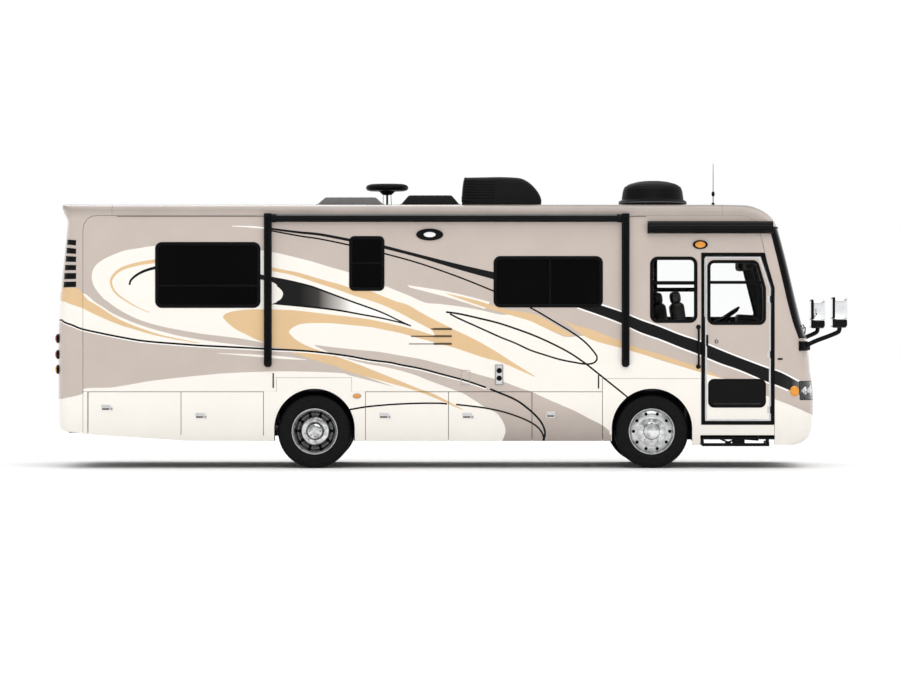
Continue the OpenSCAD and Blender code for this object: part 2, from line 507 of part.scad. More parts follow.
// Rim: barrel with two flanges, a disc at offset d from the middle (positive outwards), a hub of length h with bore b
module rim(cy, d, hub0, hub1, b) {
  spin_y(cy) {
    rotate_extrude($fn = 96) polygon([[262, -112], [300, -112], [300, -101], [286, -99], [286, 99], [300, 101], [300, 112], [262, 112]]);
    rotate_extrude($fn = 96) polygon([[b + 20, d - 8], [263, d - 8], [263, d + 8], [b + 20, d + 8]]);
    rotate_extrude($fn = 96) polygon([[b, hub0], [115, hub0], [115, hub1], [b, hub1]]);
  }
}
module front_wheel_tyre() { translate([front_axle_x, 0, axle_z]) tyre_ring(-front_track_y); }
module front_wheel_rim() { translate([front_axle_x, 0, axle_z]) rim(-front_track_y, 85, 10, 118, 40.05); }
module rear_wheel_tyres() { translate([rear_axle_x, 0, axle_z]) { tyre_ring(-rear_outer_y); tyre_ring(-rear_inner_y); } }
module rear_wheel_rims() {
  translate([rear_axle_x, 0, axle_z]) { rim(-rear_outer_y, -100, -124, -30, 45.05); rim(-rear_inner_y, 100, 60, 188, 45.05);
    spin_y(-(rear_outer_y + rear_inner_y) / 2) rotate_extrude($fn = 96) polygon([[45.05, -140], [110, -140], [110, 100], [45.05, 100]]); }
}
// Steering knuckle: kingpin with a fork above and below the axle eye, and a spindle for the hub
module knuckle() {
  color([0.2, 0.2, 0.2]) translate([front_axle_x, -kingpin_y, axle_z]) {
    translate([0, 0, -116]) cylinder(r = 25, h = 232);
    for (z = [-118, 96]) { translate([0, 0, z]) cylinder(r = 50, h = 22); translate([-40, -100, z]) cube([80, 100, 22]); }
    translate([-45, -100, -118]) cube([90, 34, 236]);
    translate([0, -99, 0]) rotate([90, 0, 0]) cylinder(r = 40, h = front_track_y - kingpin_y + 18);
  }
}

chassis_frame();
floor();
right_wall();
left_wall();
skirts();
roof();
front_cap();
rear_cap();
windscreen();
window_frames();
window_glass();
entry_door_frame();
stepwell();
storage_bays();
wheel_wells();
front_axle();
rear_axle();
air_springs();
engine();
drive_shaft();
fuel_tank();
dashboard();
cab_seats();
headlamps();
tail_lamps();
mirrors();
awnings();
roof_air_conditioners();
roof_vents();
roof_antennas();
steering_wheel();
entry_door();
entry_door_glass();
entry_step();
bay_door(0);  // right_bay_door_1
bay_door(1);  // right_bay_door_2
bay_door(2);  // right_bay_door_3
bay_door(3);  // right_bay_door_4
bay_door(4);  // right_bay_door_5
left_side() bay_door(2);  // left_bay_door_3
left_side() bay_door(3);  // left_bay_door_4
left_side() bay_door(4);  // left_bay_door_5
engine_hatch();
knuckle();  // right_knuckle
left_side() knuckle();  // left_knuckle
color([0.06, 0.06, 0.06]) front_wheel_tyre();  // front_right_tyre
color("silver") front_wheel_rim();  // front_right_rim
color([0.06, 0.06, 0.06]) left_side() front_wheel_tyre();  // front_left_tyre
color("silver") left_side() front_wheel_rim();  // front_left_rim
color([0.06, 0.06, 0.06]) rear_wheel_tyres();  // rear_right_tyres
color("silver") rear_wheel_rims();  // rear_right_rims
color([0.06, 0.06, 0.06]) left_side() rear_wheel_tyres();  // rear_left_tyres
color("silver") left_side() rear_wheel_rims();  // rear_left_rims
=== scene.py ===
import bpy, bmesh, math
import numpy as np
from mathutils import Vector, Matrix
from mathutils.geometry import delaunay_2d_cdt


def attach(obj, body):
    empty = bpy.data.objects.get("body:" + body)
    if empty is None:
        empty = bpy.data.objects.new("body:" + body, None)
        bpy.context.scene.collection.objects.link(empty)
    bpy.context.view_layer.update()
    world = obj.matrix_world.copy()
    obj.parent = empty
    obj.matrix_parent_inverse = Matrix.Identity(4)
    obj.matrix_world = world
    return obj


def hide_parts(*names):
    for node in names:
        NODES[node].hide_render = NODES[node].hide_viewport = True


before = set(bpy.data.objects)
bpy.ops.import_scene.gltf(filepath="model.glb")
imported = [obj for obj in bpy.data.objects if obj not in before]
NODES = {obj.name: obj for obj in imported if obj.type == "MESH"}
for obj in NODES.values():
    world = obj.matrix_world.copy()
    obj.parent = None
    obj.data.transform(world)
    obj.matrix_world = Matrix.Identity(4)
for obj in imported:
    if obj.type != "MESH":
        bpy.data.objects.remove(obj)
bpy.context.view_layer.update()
sc = bpy.context.scene
COACH = "coach"

# ---------------------------------------------------------------- camera, light and floor
S = 0.013                                   # one unit of the side view, in metres


def P(x, y):
    """A point of the side view, given in units from its top left corner, as X and Z in metres."""
    return ((x - 449.5) * S, (468.3 - y) * S)


CAM_DIST = 45.0                             # from the near wall
cam_data = bpy.data.cameras.new("camera")
cam = bpy.data.objects.new("camera", cam_data)
sc.collection.objects.link(cam)
cam.location = (0.0065, -(CAM_DIST + 1.219), (468.3 - 337.5) * S)
cam.rotation_euler = (math.radians(90), 0, 0)
cam_data.sensor_width = 36
cam_data.lens = 36 * CAM_DIST / (900 * S)
cam_data.clip_end = 400
sc.camera = cam
sc.view_settings.view_transform = "Standard"
sc.view_settings.look = "None"

world = bpy.data.worlds.new("world")
sc.world = world
world.use_nodes = True
wn = world.node_tree
bg = wn.nodes["Background"]
bg.inputs["Color"].default_value = (1.0, 1.0, 1.0, 1)
bg.inputs["Strength"].default_value = 1.0
sky = wn.nodes.new("ShaderNodeTexCoord")
up = wn.nodes.new("ShaderNodeSeparateXYZ")
fall = wn.nodes.new("ShaderNodeValToRGB")
SKY = ((0.11, 1.0), (0.26, 0.5), (0.60, 0.5), (0.85, 1.75))     # height above the horizon and brightness
while len(fall.color_ramp.elements) < len(SKY):
    fall.color_ramp.elements.new(0.5)
for e, (p, c) in zip(fall.color_ramp.elements, SKY):
    e.position, e.color = p, (c, c, c, 1)
wn.links.new(sky.outputs["Generated"], up.inputs["Vector"])
wn.links.new(up.outputs["Z"], fall.inputs["Fac"])
wn.links.new(fall.outputs["Color"], bg.inputs["Color"])


def area_light(name, loc, target, size, energy, size_y=None, color=(1, 1, 1)):
    d = bpy.data.lights.new(name, "AREA")
    d.shape = "RECTANGLE"
    d.size, d.size_y = size, size_y or size
    d.energy = energy
    d.color = color
    o = bpy.data.objects.new(name, d)
    o.location = loc
    o.rotation_euler = (Vector(target) - Vector(loc)).to_track_quat("-Z", "Y").to_euler()
    sc.collection.objects.link(o)
    o.visible_camera = False
    return o


area_light("key", (4, -22, 15), (0, 0, 1.5), 14, 1000, 9)
area_light("fill", (-6, 22, 15), (0, 0, 1.5), 14, 600, 9)

# ---------------------------------------------------------------- node materials
MATS = {}


def srgb(*c):
    return tuple(((v / 255) / 12.92 if v / 255 <= 0.04045 else ((v / 255 + 0.055) / 1.055) ** 2.4) for v in c)


class Tree:
    """Shorthand for a material's node tree."""

    def __init__(self, name):
        self.m = bpy.data.materials.new(name)
        self.m.use_nodes = True
        self.t = self.m.node_tree
        self.b = self.t.nodes["Principled BSDF"]
        MATS[name] = self.m

    def n(self, kind, **kw):
        node = self.t.nodes.new("ShaderNode" + kind)
        for k, v in kw.items():
            if k in node.inputs:
                node.inputs[k].default_value = v
            else:
                setattr(node, k, v)
        return node

    def l(self, a, b):
        self.t.links.new(a, b)

    def set(self, **kw):
        for k, v in kw.items():
            k = k.replace("_", " ")
            sock = self.b.inputs[k]
            sock.default_value = (*v, 1) if isinstance(v, tuple) and len(v) == 3 and sock.type == "RGBA" else v
        return self

    def coords(self):
        if not hasattr(self, "_c"):
            self._c = self.n("TexCoord").outputs["Object"]
        return self._c

    def noise(self, scale, detail=3.0, rough=0.55, stretch=None):
        tex = self.n("TexNoise", Scale=scale, Detail=detail, Roughness=rough)
        if stretch:
            mp = self.n("Mapping")
            mp.inputs["Scale"].default_value = stretch
            self.l(self.coords(), mp.inputs["Vector"])
            self.l(mp.outputs["Vector"], tex.inputs["Vector"])
        else:
            self.l(self.coords(), tex.inputs["Vector"])
        return tex.outputs["Fac"]

    def ramp(self, fac, stops):
        r = self.n("ValToRGB")
        el = r.color_ramp.elements
        while len(el) < len(stops):
            el.new(0.5)
        for e, (p, c) in zip(el, stops):
            e.position = p
            e.color = (*c, 1) if isinstance(c, tuple) else (c, c, c, 1)
        self.l(fac, r.inputs["Fac"])
        return r.outputs["Color"]

    def color_from(self, fac, stops):
        self.l(self.ramp(fac, stops), self.b.inputs["Base Color"])
        return self

    def rough_from(self, fac, lo, hi):
        mr = self.n("MapRange")
        mr.inputs["To Min"].default_value = lo
        mr.inputs["To Max"].default_value = hi
        self.l(fac, mr.inputs["Value"])
        self.l(mr.outputs["Result"], self.b.inputs["Roughness"])
        return self

    def bump_from(self, fac, strength, dist):
        bp = self.n("Bump", Strength=strength, Distance=dist)
        self.l(fac, bp.inputs["Height"])
        self.l(bp.outputs["Normal"], self.b.inputs["Normal"])
        return self


def shade(c, k):
    return tuple(min(1.0, v * k) for v in c)


def paint(name, c, spread=0.03, rough=(0.20, 0.30), coat=0.45, metallic=0.0, spec=0.25):
    """Lacquered body paint: faint mottling, slight orange peel, a clear coat."""
    t = Tree(name)
    t.color_from(t.noise(1.7, 4), [(0.3, shade(c, 1 - spread)), (0.7, shade(c, 1 + spread))])
    t.rough_from(t.noise(9.0, 3), *rough)
    t.bump_from(t.noise(420.0, 1), 0.05, 0.0006)
    t.set(Coat_Weight=coat, Coat_Roughness=0.06, Metallic=metallic)
    t.b.inputs["Specular IOR Level"].default_value = spec
    return t.m


TAUPE_C, CREAM_C = srgb(197, 184, 175), srgb(247, 242, 234)
GOLD_C, BLACK_C = srgb(224, 190, 144), srgb(14, 14, 15)


def wall_paint(name, c, spread, top, foot):
    """Body paint with painted shade: darker over the roof's shoulder (top) and towards the sill (foot)."""
    t = Tree(name)
    sep = t.n("SeparateXYZ")
    t.l(t.coords(), sep.inputs["Vector"])
    wave = t.n("Math", operation="MULTIPLY_ADD")
    t.l(t.noise(1.7, 4), wave.inputs[0])
    wave.inputs[1].default_value = 0.10
    t.l(sep.outputs["Z"], wave.inputs[2])
    mr = t.n("MapRange")
    mr.inputs["From Min"].default_value = 0.30
    mr.inputs["From Max"].default_value = 3.50
    t.l(wave.outputs["Value"], mr.inputs["Value"])
    at = lambda z: (z + 0.05 - 0.30) / 3.20
    mix = t.n("Mix", data_type="RGBA", blend_type="MULTIPLY")
    mix.inputs["Factor"].default_value = 1.0
    # painted shade: this ramp over height darkens the paint towards the sill and over the roof's shoulder
    t.l(t.ramp(mr.outputs["Result"], [(at(0.36), foot), (at(0.56), (1 + foot) / 2), (at(0.85), 1.0), (at(3.24), 1.0), (at(3.43), top)]), mix.inputs[6])
    t.l(t.ramp(t.noise(2.3, 4), [(0.3, shade(c, 1 - spread)), (0.7, shade(c, 1 + spread))]), mix.inputs[7])
    t.l(mix.outputs[2], t.b.inputs["Base Color"])
    t.rough_from(t.noise(9.0, 3), 0.20, 0.30)
    t.bump_from(t.noise(420.0, 1), 0.05, 0.0006)
    t.set(Coat_Weight=0.45, Coat_Roughness=0.06)
    t.b.inputs["Specular IOR Level"].default_value = 0.25


# taupe and cream, both with painted shade over the roof and towards the sill
wall_paint("paint_taupe", TAUPE_C, 0.03, 0.62, 0.62)
wall_paint("paint_cream", CREAM_C, 0.012, 0.9, 0.90)
paint("paint_gold", GOLD_C, 0.03)
paint("paint_black", BLACK_C, 0.08, coat=0.10, spec=0.10)
paint("paint_white", srgb(255, 253, 250), 0.01)


def fade_paint(name, stops, x0, x1, coat=0.10):
    """Paint whose colour runs along the body, from x0 to x1."""
    t = Tree(name)
    sep = t.n("SeparateXYZ")
    t.l(t.coords(), sep.inputs["Vector"])
    mr = t.n("MapRange")
    mr.inputs["From Min"].default_value = x0
    mr.inputs["From Max"].default_value = x1
    t.l(sep.outputs["X"], mr.inputs["Value"])
    t.color_from(mr.outputs["Result"], stops)
    t.rough_from(t.noise(9.0, 3), 0.2, 0.3)
    t.bump_from(t.noise(420.0, 1), 0.05, 0.0006)
    t.set(Coat_Weight=coat, Coat_Roughness=0.06)
    t.b.inputs["Specular IOR Level"].default_value = 0.12
    return t.m


fade_paint("paint_fin", [(0.0, BLACK_C), (0.22, BLACK_C), (0.5, srgb(60, 58, 56)), (0.8, srgb(190, 185, 180)), (1.0, srgb(250, 248, 244))], P(285, 0)[0], P(352, 0)[0])
fade_paint("paint_stripe_front", [(0.0, BLACK_C), (0.45, srgb(34, 34, 35)), (1.0, srgb(150, 147, 144))], P(780, 0)[0], P(806, 0)[0])


def plastic(name, c, rough=(0.35, 0.5), grain=900.0, depth=0.0004, spread=0.12, spec=0.14):
    t = Tree(name)
    t.color_from(t.noise(6.0, 4), [(0.3, shade(c, 1 - spread)), (0.7, shade(c, 1 + spread))])
    t.rough_from(t.noise(24.0, 3), *rough)
    t.bump_from(t.noise(grain, 2), 0.25, depth)
    t.b.inputs["Specular IOR Level"].default_value = spec
    return t.m


def metal(name, c, rough=(0.08, 0.2), brushed=None, depth=0.0002, tone_and_reflection_swing=0.05):
    t = Tree(name)
    # the colour spreads in patches: a little for tone, and widely where it stands for painted reflection
    t.color_from(t.noise(14.0, 3), [(0.35, shade(c, 1 - tone_and_reflection_swing)), (0.65, shade(c, 1 + tone_and_reflection_swing))])
    f = t.noise(120.0, 2, stretch=brushed) if brushed else t.noise(40.0, 3)
    t.rough_from(f, *rough)
    t.bump_from(f, 0.12, depth)
    t.set(Metallic=1.0)
    return t.m


def glass(name, tint, rough=0.02, spec=0.5, ior=1.45):
    t = Tree(name)
    t.set(Base_Color=tint, Transmission_Weight=1.0, IOR=ior)
    t.rough_from(t.noise(3.0, 2), rough, rough + 0.015)
    t.b.inputs["Specular IOR Level"].default_value = spec
    return t.m


plastic("black_trim", (0.0035, 0.0035, 0.004), (0.30, 0.42), spec=0.06)
plastic("black_satin", (0.0045, 0.0045, 0.005), (0.35, 0.5), spec=0.09)
plastic("black_gloss", (0.003, 0.003, 0.0033), (0.10, 0.18), 300, 0.0001, spec=0.10)
plastic("black_matt", (0.009, 0.009, 0.009), (0.65, 0.85), 500, 0.0008, spec=0.06)
plastic("grey_plastic", (0.33, 0.33, 0.33), (0.4, 0.55), spec=0.3)
plastic("seal_taupe", (0.15, 0.125, 0.10), (0.4, 0.55), spec=0.2)
plastic("dark_grey", (0.0065, 0.0065, 0.007), (0.40, 0.55), spec=0.12)
plastic("vent_grey", (0.12, 0.118, 0.115), (0.4, 0.55), spec=0.25)
plastic("vent_brown", (0.10, 0.065, 0.035), (0.4, 0.55), spec=0.2)
plastic("dash", (0.014, 0.013, 0.0125), (0.5, 0.7), 700, 0.0008)
plastic("liner", (0.02, 0.02, 0.02), (0.7, 0.9), 60, 0.002)
plastic("tray", (0.30, 0.30, 0.29), (0.6, 0.8), 300, 0.0006)
plastic("deck", (0.16, 0.12, 0.09), (0.5, 0.7), 200, 0.0006, 0.25)
plastic("iron", (0.035, 0.034, 0.033), (0.5, 0.75), 220, 0.0012, 0.3)
plastic("frame_paint", (0.018, 0.018, 0.019), (0.4, 0.6), 180, 0.0008, 0.25)
plastic("bellows", (0.012, 0.012, 0.012), (0.6, 0.8), 260, 0.0006)
metal("chrome", (0.80, 0.81, 0.82), (0.02, 0.06))
# alloy and chrome_wheel swing widely: painted reflection, light and dark patches standing for surroundings mirrored in
# the bright metal
metal("alloy", (0.50, 0.505, 0.51), (0.10, 0.20), (1, 30, 1), tone_and_reflection_swing=0.16)
metal("chrome_wheel", (0.56, 0.565, 0.57), (0.04, 0.10), tone_and_reflection_swing=0.38)
# dish: a darker metal for the rear wheels' deep dish, painted shade
metal("dish", (0.15, 0.15, 0.155), (0.2, 0.35))
metal("aluminium", (0.62, 0.62, 0.63), (0.25, 0.40), (40, 1, 1))
metal("steel_dark", (0.20, 0.20, 0.205), (0.35, 0.5))
t = Tree("tyre")
t.color_from(t.noise(30.0, 4), [(0.3, (0.0028, 0.0028, 0.0028)), (0.75, (0.0065, 0.0065, 0.0065))])
t.rough_from(t.noise(60.0, 3), 0.50, 0.72)
t.bump_from(t.noise(350.0, 3), 0.35, 0.0008)
t.b.inputs["Specular IOR Level"].default_value = 0.12
t = Tree("glass_dark")
t.color_from(t.noise(0.9, 2), [(0.3, (0.0012, 0.0012, 0.0013)), (0.7, (0.0022, 0.0022, 0.0024))])
t.rough_from(t.noise(2.0, 2), 0.03, 0.06)
t.b.inputs["Specular IOR Level"].default_value = 0.03
glass("glass_clear", (0.985, 0.99, 0.988), spec=0.12, ior=1.10)
glass("glass_screen", (0.42, 0.45, 0.45), spec=0.2)
glass("lens_clear", (0.97, 0.97, 0.97), 0.01)


def lens(name, c):
    t = Tree(name)
    t.color_from(t.noise(60.0, 2), [(0.3, shade(c, 0.85)), (0.7, shade(c, 1.15))])
    t.rough_from(t.noise(30.0, 2), 0.08, 0.16)
    w = t.n("TexWave", Scale=55.0, Distortion=0.0)
    t.l(t.coords(), w.inputs["Vector"])
    t.bump_from(w.outputs["Fac"], 0.3, 0.001)
    t.set(Coat_Weight=0.8)
    return t.m


lens("lens_amber", srgb(228, 146, 12))
lens("lens_red", srgb(150, 12, 12))
lens("lens_white", srgb(250, 250, 250))
t = Tree("floor_stage")
t.color_from(t.noise(0.5, 3), [(0.3, (0.965, 0.965, 0.965)), (0.7, (0.975, 0.975, 0.975))])
t.set(Roughness=0.9)
t = Tree("leather")
t.color_from(t.noise(10.0, 4), [(0.3, (0.010, 0.0085, 0.0075)), (0.7, (0.018, 0.015, 0.013))])
v = t.n("TexVoronoi", Scale=260.0)
t.l(t.coords(), v.inputs["Vector"])
t.bump_from(v.outputs["Distance"], 0.35, 0.0012)
t.rough_from(t.noise(40.0, 3), 0.42, 0.6)
t = Tree("cabin_trim")
t.color_from(t.noise(7.0, 4), [(0.3, (0.006, 0.0055, 0.005)), (0.7, (0.010, 0.009, 0.008))])
t.bump_from(t.noise(600.0, 2), 0.3, 0.0006)
t.set(Roughness=0.85)

# ---------------------------------------------------------------- mesh kit


class Kit:
    """Collects shapes of several materials into one piece."""

    def __init__(self):
        self.v, self.f, self.m, self.s, self.mats = [], [], [], [], []

    def slot(self, mat):
        if mat not in self.mats:
            self.mats.append(mat)
        return self.mats.index(mat)

    def add(self, shape, mat, smooth=True, xf=None):
        verts, faces = shape
        k = len(self.v)
        if xf is not None:
            flip = xf.to_3x3().determinant() < 0
            verts = [tuple(xf @ Vector(p)) for p in verts]
            if flip:
                faces = [tuple(reversed(f)) for f in faces]
        self.v.extend(tuple(p) for p in verts)
        self.f.extend(tuple(i + k for i in f) for f in faces)
        if isinstance(mat, str):
            i = self.slot(mat)
            self.m.extend([i] * len(faces))
        else:
            self.m.extend(self.slot(q) for q in mat)
        self.s.extend([smooth] * len(faces) if isinstance(smooth, bool) else smooth)
        return self

    def mirrored(self):
        k = Kit()
        k.v = [(x, -y, z) for x, y, z in self.v]
        k.f = [tuple(reversed(f)) for f in self.f]
        k.m, k.s, k.mats = list(self.m), list(self.s), list(self.mats)
        return k

    def join(self, other):
        k = len(self.v)
        self.v.extend(other.v)
        self.f.extend(tuple(i + k for i in f) for f in other.f)
        self.m.extend(self.slot(other.mats[i]) for i in other.m)
        self.s.extend(other.s)
        return self

    def make(self, name, body, *nodes, angle=35, normals=None):
        me = bpy.data.meshes.new(name)
        me.from_pydata(self.v, [], self.f)
        for q in self.mats:
            me.materials.append(MATS[q])
        me.polygons.foreach_set("material_index", self.m)
        me.polygons.foreach_set("use_smooth", self.s)
        if angle is not None and normals is None:
            me.set_sharp_from_angle(angle=math.radians(angle))
        if normals is not None:
            me.normals_split_custom_set_from_vertices(normals)
        me.validate()
        me.update()
        ob = bpy.data.objects.new(name, me)
        sc.collection.objects.link(ob)
        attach(ob, body)
        if nodes:
            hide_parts(*nodes)
        return ob


def rbox(lo, hi, r=0.01, seg=2):
    """A box with rounded edges."""
    lo, hi = Vector(lo), Vector(hi)
    bm = bmesh.new()
    bmesh.ops.create_cube(bm, size=1)
    for q in bm.verts:
        q.co = Vector(((lo[i] + hi[i]) / 2 + q.co[i] * (hi[i] - lo[i]) for i in range(3)))
    r = min(r, min(hi - lo) * 0.49)
    if r > 0:
        bmesh.ops.bevel(bm, geom=bm.edges[:], offset=r, segments=seg, profile=0.5, affect="EDGES")
    bm.verts.index_update()
    out = ([tuple(q.co) for q in bm.verts], [tuple(q.index for q in f.verts) for f in bm.faces])
    bm.free()
    return out


def frame_to(origin, axis):
    """A matrix whose Z lies along axis."""
    return Matrix.Translation(Vector(origin)) @ Vector(axis).to_track_quat("Z", "Y").to_matrix().to_4x4()


def lathe(profile, segs=48, xf=None):
    """Turns (radius, height) points round Z. A point of radius 0 closes the end. A closed ring results if the first point is the last."""
    verts, faces, rings = [], [], []
    ring = profile[0] == profile[-1]
    pts = profile[:-1] if ring else profile
    for r, h in pts:
        if r < 1e-7:
            rings.append([len(verts)])
            verts.append((0, 0, h))
        else:
            rings.append(list(range(len(verts), len(verts) + segs)))
            verts.extend((r * math.cos(2 * math.pi * i / segs), r * math.sin(2 * math.pi * i / segs), h) for i in range(segs))
    pairs = list(zip(rings, rings[1:])) + ([(rings[-1], rings[0])] if ring else [])
    for a, b in pairs:
        for i in range(segs):
            j = (i + 1) % segs
            if len(a) == 1 and len(b) == 1:
                continue
            if len(a) == 1:
                faces.append((a[0], b[i], b[j]))
            elif len(b) == 1:
                faces.append((a[j], a[i], b[0]))
            else:
                faces.append((a[i], b[i], b[j], a[j]))
    faces = [tuple(reversed(f)) for f in faces]
    if xf is not None:
        verts = [tuple(xf @ Vector(p)) for p in verts]
    return verts, faces


def rod(a, b, r, segs=16, bevel=None):
    """A round bar from a to b with eased ends."""
    a, b = Vector(a), Vector(b)
    n = (b - a).length
    e = bevel if bevel is not None else min(r * 0.25, n * 0.2)
    prof = [(0, 0), (r - e, 0), (r, e), (r, n - e), (r - e, n), (0, n)]
    return lathe(prof, segs, frame_to(a, b - a))


def tube(path, radius, segs=12, closed=False, flat=1.0):
    """A swept round bar along points; radius may be one number or one per point."""
    pts = [Vector(p) for p in path]
    n = len(pts)
    rad = radius if isinstance(radius, (list, tuple)) else [radius] * n
    verts, faces = [], []
    up = Vector((0, 0, 1))
    d0 = (pts[1] - pts[0]).normalized()
    side = d0.cross(up)
    if side.length < 1e-4:
        side = d0.cross(Vector((1, 0, 0)))
    side.normalize()
    for i, p in enumerate(pts):
        if closed:
            d = (pts[(i + 1) % n] - pts[i - 1]).normalized()
        else:
            d = (pts[min(i + 1, n - 1)] - pts[max(i - 1, 0)]).normalized()
        side = (side - d * side.dot(d)).normalized()
        nrm = side.cross(d)
        for k in range(segs):
            a = 2 * math.pi * k / segs
            verts.append(tuple(p + (side * math.cos(a) + nrm * math.sin(a) * flat) * rad[i]))
    for i in range(n if closed else n - 1):
        j = (i + 1) % n
        for k in range(segs):
            l = (k + 1) % segs
            faces.append((i * segs + k, i * segs + l, j * segs + l, j * segs + k))
    if not closed:
        for ring, p, rev in ((0, pts[0], False), (n - 1, pts[-1], True)):
            c = len(verts)
            verts.append(tuple(p))
            for k in range(segs):
                l = (k + 1) % segs
                f = (ring * segs + l, ring * segs + k, c)
                faces.append(tuple(reversed(f)) if rev else f)
    return verts, faces


def curve(pts, n=8, closed=False):
    """A smooth line through points."""
    pts = [np.array(p, float) for p in pts]
    out, m = [], len(pts)
    for i in range(m if closed else m - 1):
        p1, p2 = pts[i], pts[(i + 1) % m]
        p0 = pts[i - 1] if (i > 0 or closed) else 2 * p1 - p2
        p3 = pts[(i + 2) % m] if (i + 2 < m or closed) else 2 * p2 - p1
        for k in range(n):
            s = k / n
            out.append(0.5 * ((2 * p1) + (p2 - p0) * s + (2 * p0 - 5 * p1 + 4 * p2 - p3) * s * s + (3 * p1 - p0 - 3 * p2 + p3) * s ** 3))
    if not closed:
        out.append(pts[-1])
    return [tuple(p) for p in out]


def arc2(cx, cz, r, a0, a1, n=8):
    return [(cx + r * math.cos(math.radians(a0 + (a1 - a0) * i / n)), cz + r * math.sin(math.radians(a0 + (a1 - a0) * i / n))) for i in range(n + 1)]


def rrect2(x0, x1, z0, z1, r, n=6):
    return arc2(x1 - r, z0 + r, r, -90, 0, n) + arc2(x1 - r, z1 - r, r, 0, 90, n) + arc2(x0 + r, z1 - r, r, 90, 180, n) + arc2(x0 + r, z0 + r, r, 180, 270, n)


def area2(loop):
    a = np.array(loop)
    b = np.roll(a, -1, 0)
    return 0.5 * np.sum(a[:, 0] * b[:, 1] - b[:, 0] * a[:, 1])


def inset(loop, d):
    """A loop moved inwards by d, with mitred corners."""
    p = np.array(loop, float)
    if area2(loop) < 0:
        p = p[::-1]
    a, b = p - np.roll(p, 1, 0), np.roll(p, -1, 0) - p
    na = np.stack([-a[:, 1], a[:, 0]], 1) / np.maximum(np.linalg.norm(a, axis=1, keepdims=True), 1e-9)
    nb = np.stack([-b[:, 1], b[:, 0]], 1) / np.maximum(np.linalg.norm(b, axis=1, keepdims=True), 1e-9)
    m = na + nb
    k = np.maximum(np.sum(m * nb, 1, keepdims=True), 0.5)
    return [tuple(q) for q in p + m / k * d]


def inside(pts, loop):
    """Which of the points lie inside the loop."""
    pts, q = np.asarray(pts), np.asarray(loop)
    r = np.roll(q, -1, 0)
    x, y = pts[:, 0][:, None], pts[:, 1][:, None]
    cross = ((q[:, 1] > y) != (r[:, 1] > y))
    den = np.where(np.abs(r[:, 1] - q[:, 1]) < 1e-12, 1e-12, r[:, 1] - q[:, 1])
    xi = (r[:, 0] - q[:, 0]) * (y - q[:, 1]) / den + q[:, 0]
    return (np.sum(cross & (x < xi), 1) % 2) == 1


def on_loop(pts, loops, tol=2e-5):
    """Which of the points lie on the loops' edges."""
    pts = np.asarray(pts)
    hit = np.zeros(len(pts), bool)
    for loop in loops:
        q = np.asarray(loop)
        d = np.roll(q, -1, 0) - q
        for a, e in zip(q, d):
            l2 = max(float(e @ e), 1e-18)
            s = np.clip(((pts - a) @ e) / l2, 0, 1)
            hit |= np.linalg.norm(pts - (a + s[:, None] * e), axis=1) < tol
    return hit


def mesh2(loops, extra_points=()):
    """Points and triangles of a plane mesh that keeps every loop's edges."""
    co, ed = [], []
    for loop in loops:
        k = len(co)
        co.extend(Vector(p) for p in loop)
        n = len(loop)
        ed.extend((k + i, k + (i + 1) % n) for i in range(n))
    co.extend(Vector(p) for p in extra_points)
    v, e, f, *_ = delaunay_2d_cdt(co, ed, [], 0, 1e-6)
    return np.array([tuple(p) for p in v]), [tuple(t) for t in f]


# ---------------------------------------------------------------- painted stripes, in units of the side view
def band(upper, lower, n=6):
    return curve(upper, n) + curve(lower, n)[::-1]


def stroke(pts, w, w1=None, n=6, taper=False):
    """A line of width w, running to w1 at its end, as a closed outline."""
    c = np.array(curve(pts, n))
    d = np.gradient(c, axis=0)
    nm = np.stack([-d[:, 1], d[:, 0]], 1) / np.maximum(np.linalg.norm(d, axis=1, keepdims=True), 1e-9)
    s = np.linspace(0, 1, len(c))
    ww = w + ((w if w1 is None else w1) - w) * s
    if taper:
        ww = ww * np.clip(np.minimum(s, 1 - s) / 0.15, 0.12, 1)
    o = nm * ww[:, None] / 2
    return [tuple(p) for p in c + o] + [tuple(p) for p in (c - o)[::-1]]


U_MAIN = [(91.5, 277), (93, 270), (97, 264), (105, 258.5), (115, 254), (125, 250.5), (140, 248), (155, 246), (200, 245), (240, 247.5), (272, 252), (290, 256), (310, 261),
          (330, 267), (349, 272.5), (384, 285.5), (395, 290), (410, 296), (425, 302.5), (440, 304), (460, 306.5), (480, 310), (500, 314.5), (510, 315), (530, 321), (545, 328),
          (558, 334), (567, 337), (585, 336), (595, 341), (621, 348), (645, 355), (660, 360), (700, 372), (722, 378), (740, 385), (760, 393), (777, 400), (790, 405), (811, 414), (830, 422)]
L_MAIN = [(91.5, 277), (93, 284), (97, 291), (103, 298), (107, 301), (115, 307), (125, 313), (140, 320), (160, 326), (180, 330), (200, 333.5), (220, 336), (240, 338.5), (265, 343)]
LOW_CREAM = [(30, 401), (59, 399), (82, 394), (85, 388.5), (110, 387.5), (130, 384.5), (150, 381), (180, 377.5), (210, 374.5), (230, 373), (270, 371.5), (300, 371.5), (340, 373), (352, 376), (395, 387)]
STRIP_TOP = [(30, 290), (62, 290), (83, 293.5), (88, 296), (95, 302), (103, 307), (112, 313), (125, 319), (140, 325), (160, 331), (180, 336), (200, 339.5), (220, 342.5), (240, 345), (258, 347), (272, 349)]
PIN = [(30, 319.5), (59, 320), (62, 321), (66, 323), (72, 325), (82, 329), (100, 333), (120, 337), (140, 340.5), (160, 342.5), (180, 344), (200, 345.5), (220, 346.5), (250, 348), (272, 349.3), (290, 350),
       (310, 351.3), (330, 353.5), (350, 356.3), (370, 360), (390, 362.5), (400, 364.7), (420, 368.5), (440, 373.7), (460, 379), (470, 382), (486, 387.5)]
